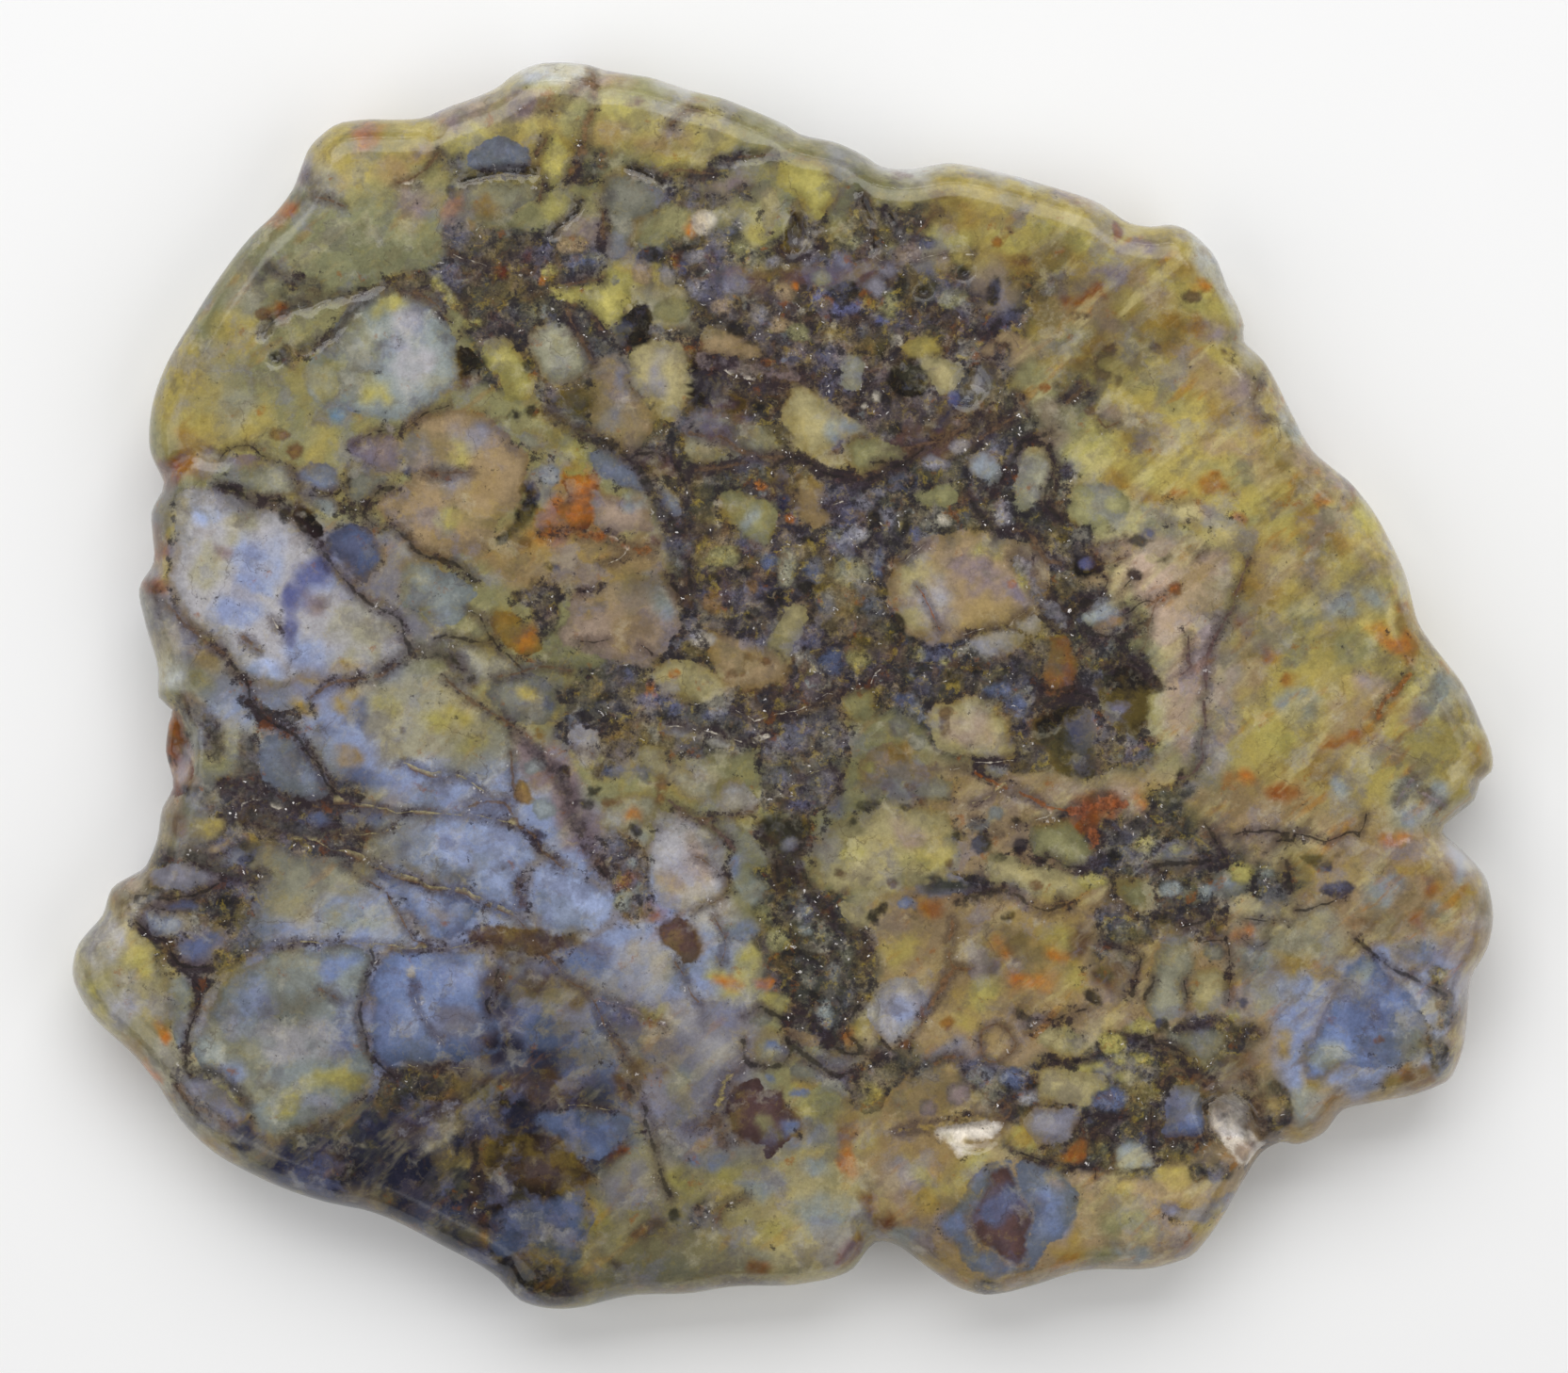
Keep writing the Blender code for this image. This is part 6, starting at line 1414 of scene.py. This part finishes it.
dust = patches(0.25, 0.75, 0.14, 2.0, 0.6, 5.0)
base = times(base, 0.84, 1.18, total(0.5, (total(-0.5, (dust, 1.0)), busy)))

# The thin outer skin along the rim is pale and milky, and partly painted sheen, made strongest towards the
# upper right where the lamps catch the rounded rim.
milky_sheen = total(0.0, (painted["milky_sheen"],
                    add("MapRange", (total(painted["milky_sheen"], (coarse, 1.0)), 0.1, 0.7), **smooth)))
base = over(base, milky_sheen, 0.8, "c6c6cc")

# Manganese and clay settled in dark specks: along borders, beside veins and all through the matrix.
off_border = add("Math", (total(0.12, (clast_edge, 1.0)),), operation="ABSOLUTE")
off_border = add("MapRange", (off_border, 0.0, 0.60), **smooth)
at_border = total(0.0, (total(1.0, (off_border, -1.0)), patches(0.42, 0.60, 2.2, 2.0, 0.5, 61.0)))
crowded = total(-0.13, (at_border, 0.10), (matrix, 0.055), (beside_vein, 0.045),
                (grain(5.0, 2.0, 0.5, 63.0), 0.16), (milky_sheen, -0.2), (busy, 0.05))
for size, low, strength, offset in ((0.75, 0.595, 0.74, 67.0), (0.34, 0.61, 0.66, 69.0)):
    level = total(crowded, (grain(size, 5.0, 0.75, offset), 1.0))
    speck = add("MapRange", (level, low, low + 0.10), **smooth)
    base = over(base, speck, strength, "2b262c")
rusty = add("MapRange", (total(grain(1.3, 5.0, 0.7, 73.0), (crowded, 0.2)), 0.62, 0.73), **smooth)
base = over(base, rusty, 0.5, "8c5418")

# Hair cracks of 0.05 mm run through the slab.
cracks = add("TexVoronoi", {"Vector": stirred, "Scale": 0.26}, feature="DISTANCE_TO_EDGE")
off_crack = add("MapRange", (cracks, 0.0, 0.016), **smooth)
cracked = total(0.0, (total(1.0, (off_crack, -1.0)), patches(0.52, 0.64, 3.0, 2.0, 0.5, 71.0)))
base = over(base, cracked, 0.35, "4a3c30")

# A vein darkens the stone beside it. Wide ones are full of crushed matrix.
vein_shadow = add("MapRange", (total(painted["vein_depth"], (waver, 0.6)), -0.45, 0.02), **smooth)
base = over(base, vein_shadow, 0.45, "402f33")
vein = over(painted["vein"], wide, 0.5, crushed)
base = over(base, in_vein, vein_strength, times(vein, 0.55, 1.45, patches(0.3, 0.7, 0.3, 4.0, 0.7, 19.0)))

# Painted glints: small white specks painted into the colour where tiny open crystals in the matrix and along
# the veins would glitter under the lamps.
glint_cells = add("TexVoronoi", {"Vector": stirred, "Scale": 5.0})
lucky = add("SeparateColor", (glint_cells.node.outputs["Color"],), 2)
lucky = total(-0.225, (lucky, 1.0), (grain(1.5, 3.0, 0.6, 79.0), 0.45))
lucky = add("MapRange", (lucky, 0.97, 0.99), **smooth)
off_glint_cell = add("MapRange", (glint_cells, 0.2, 0.42), **smooth)
painted_glint = total(0.0, (lucky, total(1.0, (off_glint_cell, -1.0))))
base = over(base, painted_glint, total(0.0, (beside_vein, 0.5), (matrix, 0.6)), "dcd8d6")
base = add("Gamma", (base, 1.21))
base = add("HueSaturation", {"Color": base, "Saturation": 1.0, "Value": 1.21})

polish = total(0.14, (matrix, 0.14), (fine, 0.10))
bump = add("Bump", {"Strength": 0.25, "Distance": 0.00003, "Height": grain(0.35, 3.0, 0.6, 83.0)})
shader = add("BsdfPrincipled", {"Roughness": polish, "IOR": 1.54, "Specular IOR Level": 0.4, "Normal": bump,
                                "Base Color": base})
add("OutputMaterial", {"Surface": shader})
mesh.materials.append(agate)
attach(stone, "root")
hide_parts("coprolite_slab")

# Floor: a plain white sweep under the slab, matt, as a stone is laid out to be photographed.
floor_mesh = bpy.data.meshes.new("pale_floor")
FLOOR = 1.5
FLOOR_GAP = 0.05 * MM
corners = [(x * FLOOR, y * FLOOR, -FLOOR_GAP) for x, y in ((-1, -1), (1, -1), (1, 1), (-1, 1))]
floor_mesh.from_pydata(corners, [], [(0, 1, 2, 3)])
floor = bpy.data.objects.new("pale_floor", floor_mesh)
bpy.context.scene.collection.objects.link(floor)
paper = bpy.data.materials.new("matt white paper")
paper.use_nodes = True
paper_inputs = paper.node_tree.nodes["Principled BSDF"].inputs
paper_inputs["Base Color"].default_value = (0.93, 0.93, 0.93, 1.0)
paper_inputs["Roughness"].default_value = 0.9
paper_inputs["Specular IOR Level"].default_value = 0.1
floor_mesh.materials.append(paper)

# Light: a pale room and softboxes round the table. None stands overhead, so the flat face shows
# no glare. A low one beyond the upper rim gives that rim its soft shine.
bpy.context.scene.view_settings.view_transform = "Standard"
room = bpy.data.worlds.new("pale room")
room.use_nodes = True
room.node_tree.nodes["Background"].inputs["Color"].default_value = (1.0, 1.0, 1.0, 1.0)
room.node_tree.nodes["Background"].inputs["Strength"].default_value = 0.19
bpy.context.scene.world = room


def softbox(name, toward, elevation, distance, size, power):
    """A rectangular light that faces the slab from an angle round it, 0 at +X, and an elevation."""
    light = bpy.data.lights.new(name, "AREA")
    light.shape = "RECTANGLE"
    light.size = size[0]
    light.size_y = size[1]
    light.energy = power
    holder = bpy.data.objects.new(name, light)
    turn, up = math.radians(toward), math.radians(elevation)
    away = Vector((math.cos(turn) * math.cos(up), math.sin(turn) * math.cos(up), math.sin(up)))
    holder.location = away * distance
    holder.rotation_mode = "QUATERNION"
    holder.rotation_quaternion = away.to_track_quat("Z", "Y")
    bpy.context.scene.collection.objects.link(holder)


softbox("key softbox", 95, 46, 0.55, (0.70, 0.38), 2.45)
softbox("left softbox", 200, 42, 0.60, (0.60, 0.45), 1.12)
softbox("right softbox", 340, 42, 0.60, (0.60, 0.45), 1.12)
softbox("upper rim strip", 90, 20, 0.50, (0.34, 0.010), 0.12)

# Camera: straight above, as the photograph was taken. Its frame is VIEW_WIDTH mm wide at the height
# of the rim's waist, and its middle is a little off the slab's.
VIEW_WIDTH = 83.25
VIEW_MIDDLE = (0.075, -0.05)
WAIST = 3.0
lens = bpy.data.cameras.new("camera")
lens.lens = 100.0
lens.sensor_width = 36.0
lens.clip_start = 0.01
lens.clip_end = 5.0
camera = bpy.data.objects.new("camera", lens)
above = WAIST + VIEW_WIDTH * lens.lens / lens.sensor_width
camera.location = (VIEW_MIDDLE[0] * MM, VIEW_MIDDLE[1] * MM, above * MM)
bpy.context.scene.collection.objects.link(camera)
bpy.context.scene.camera = camera
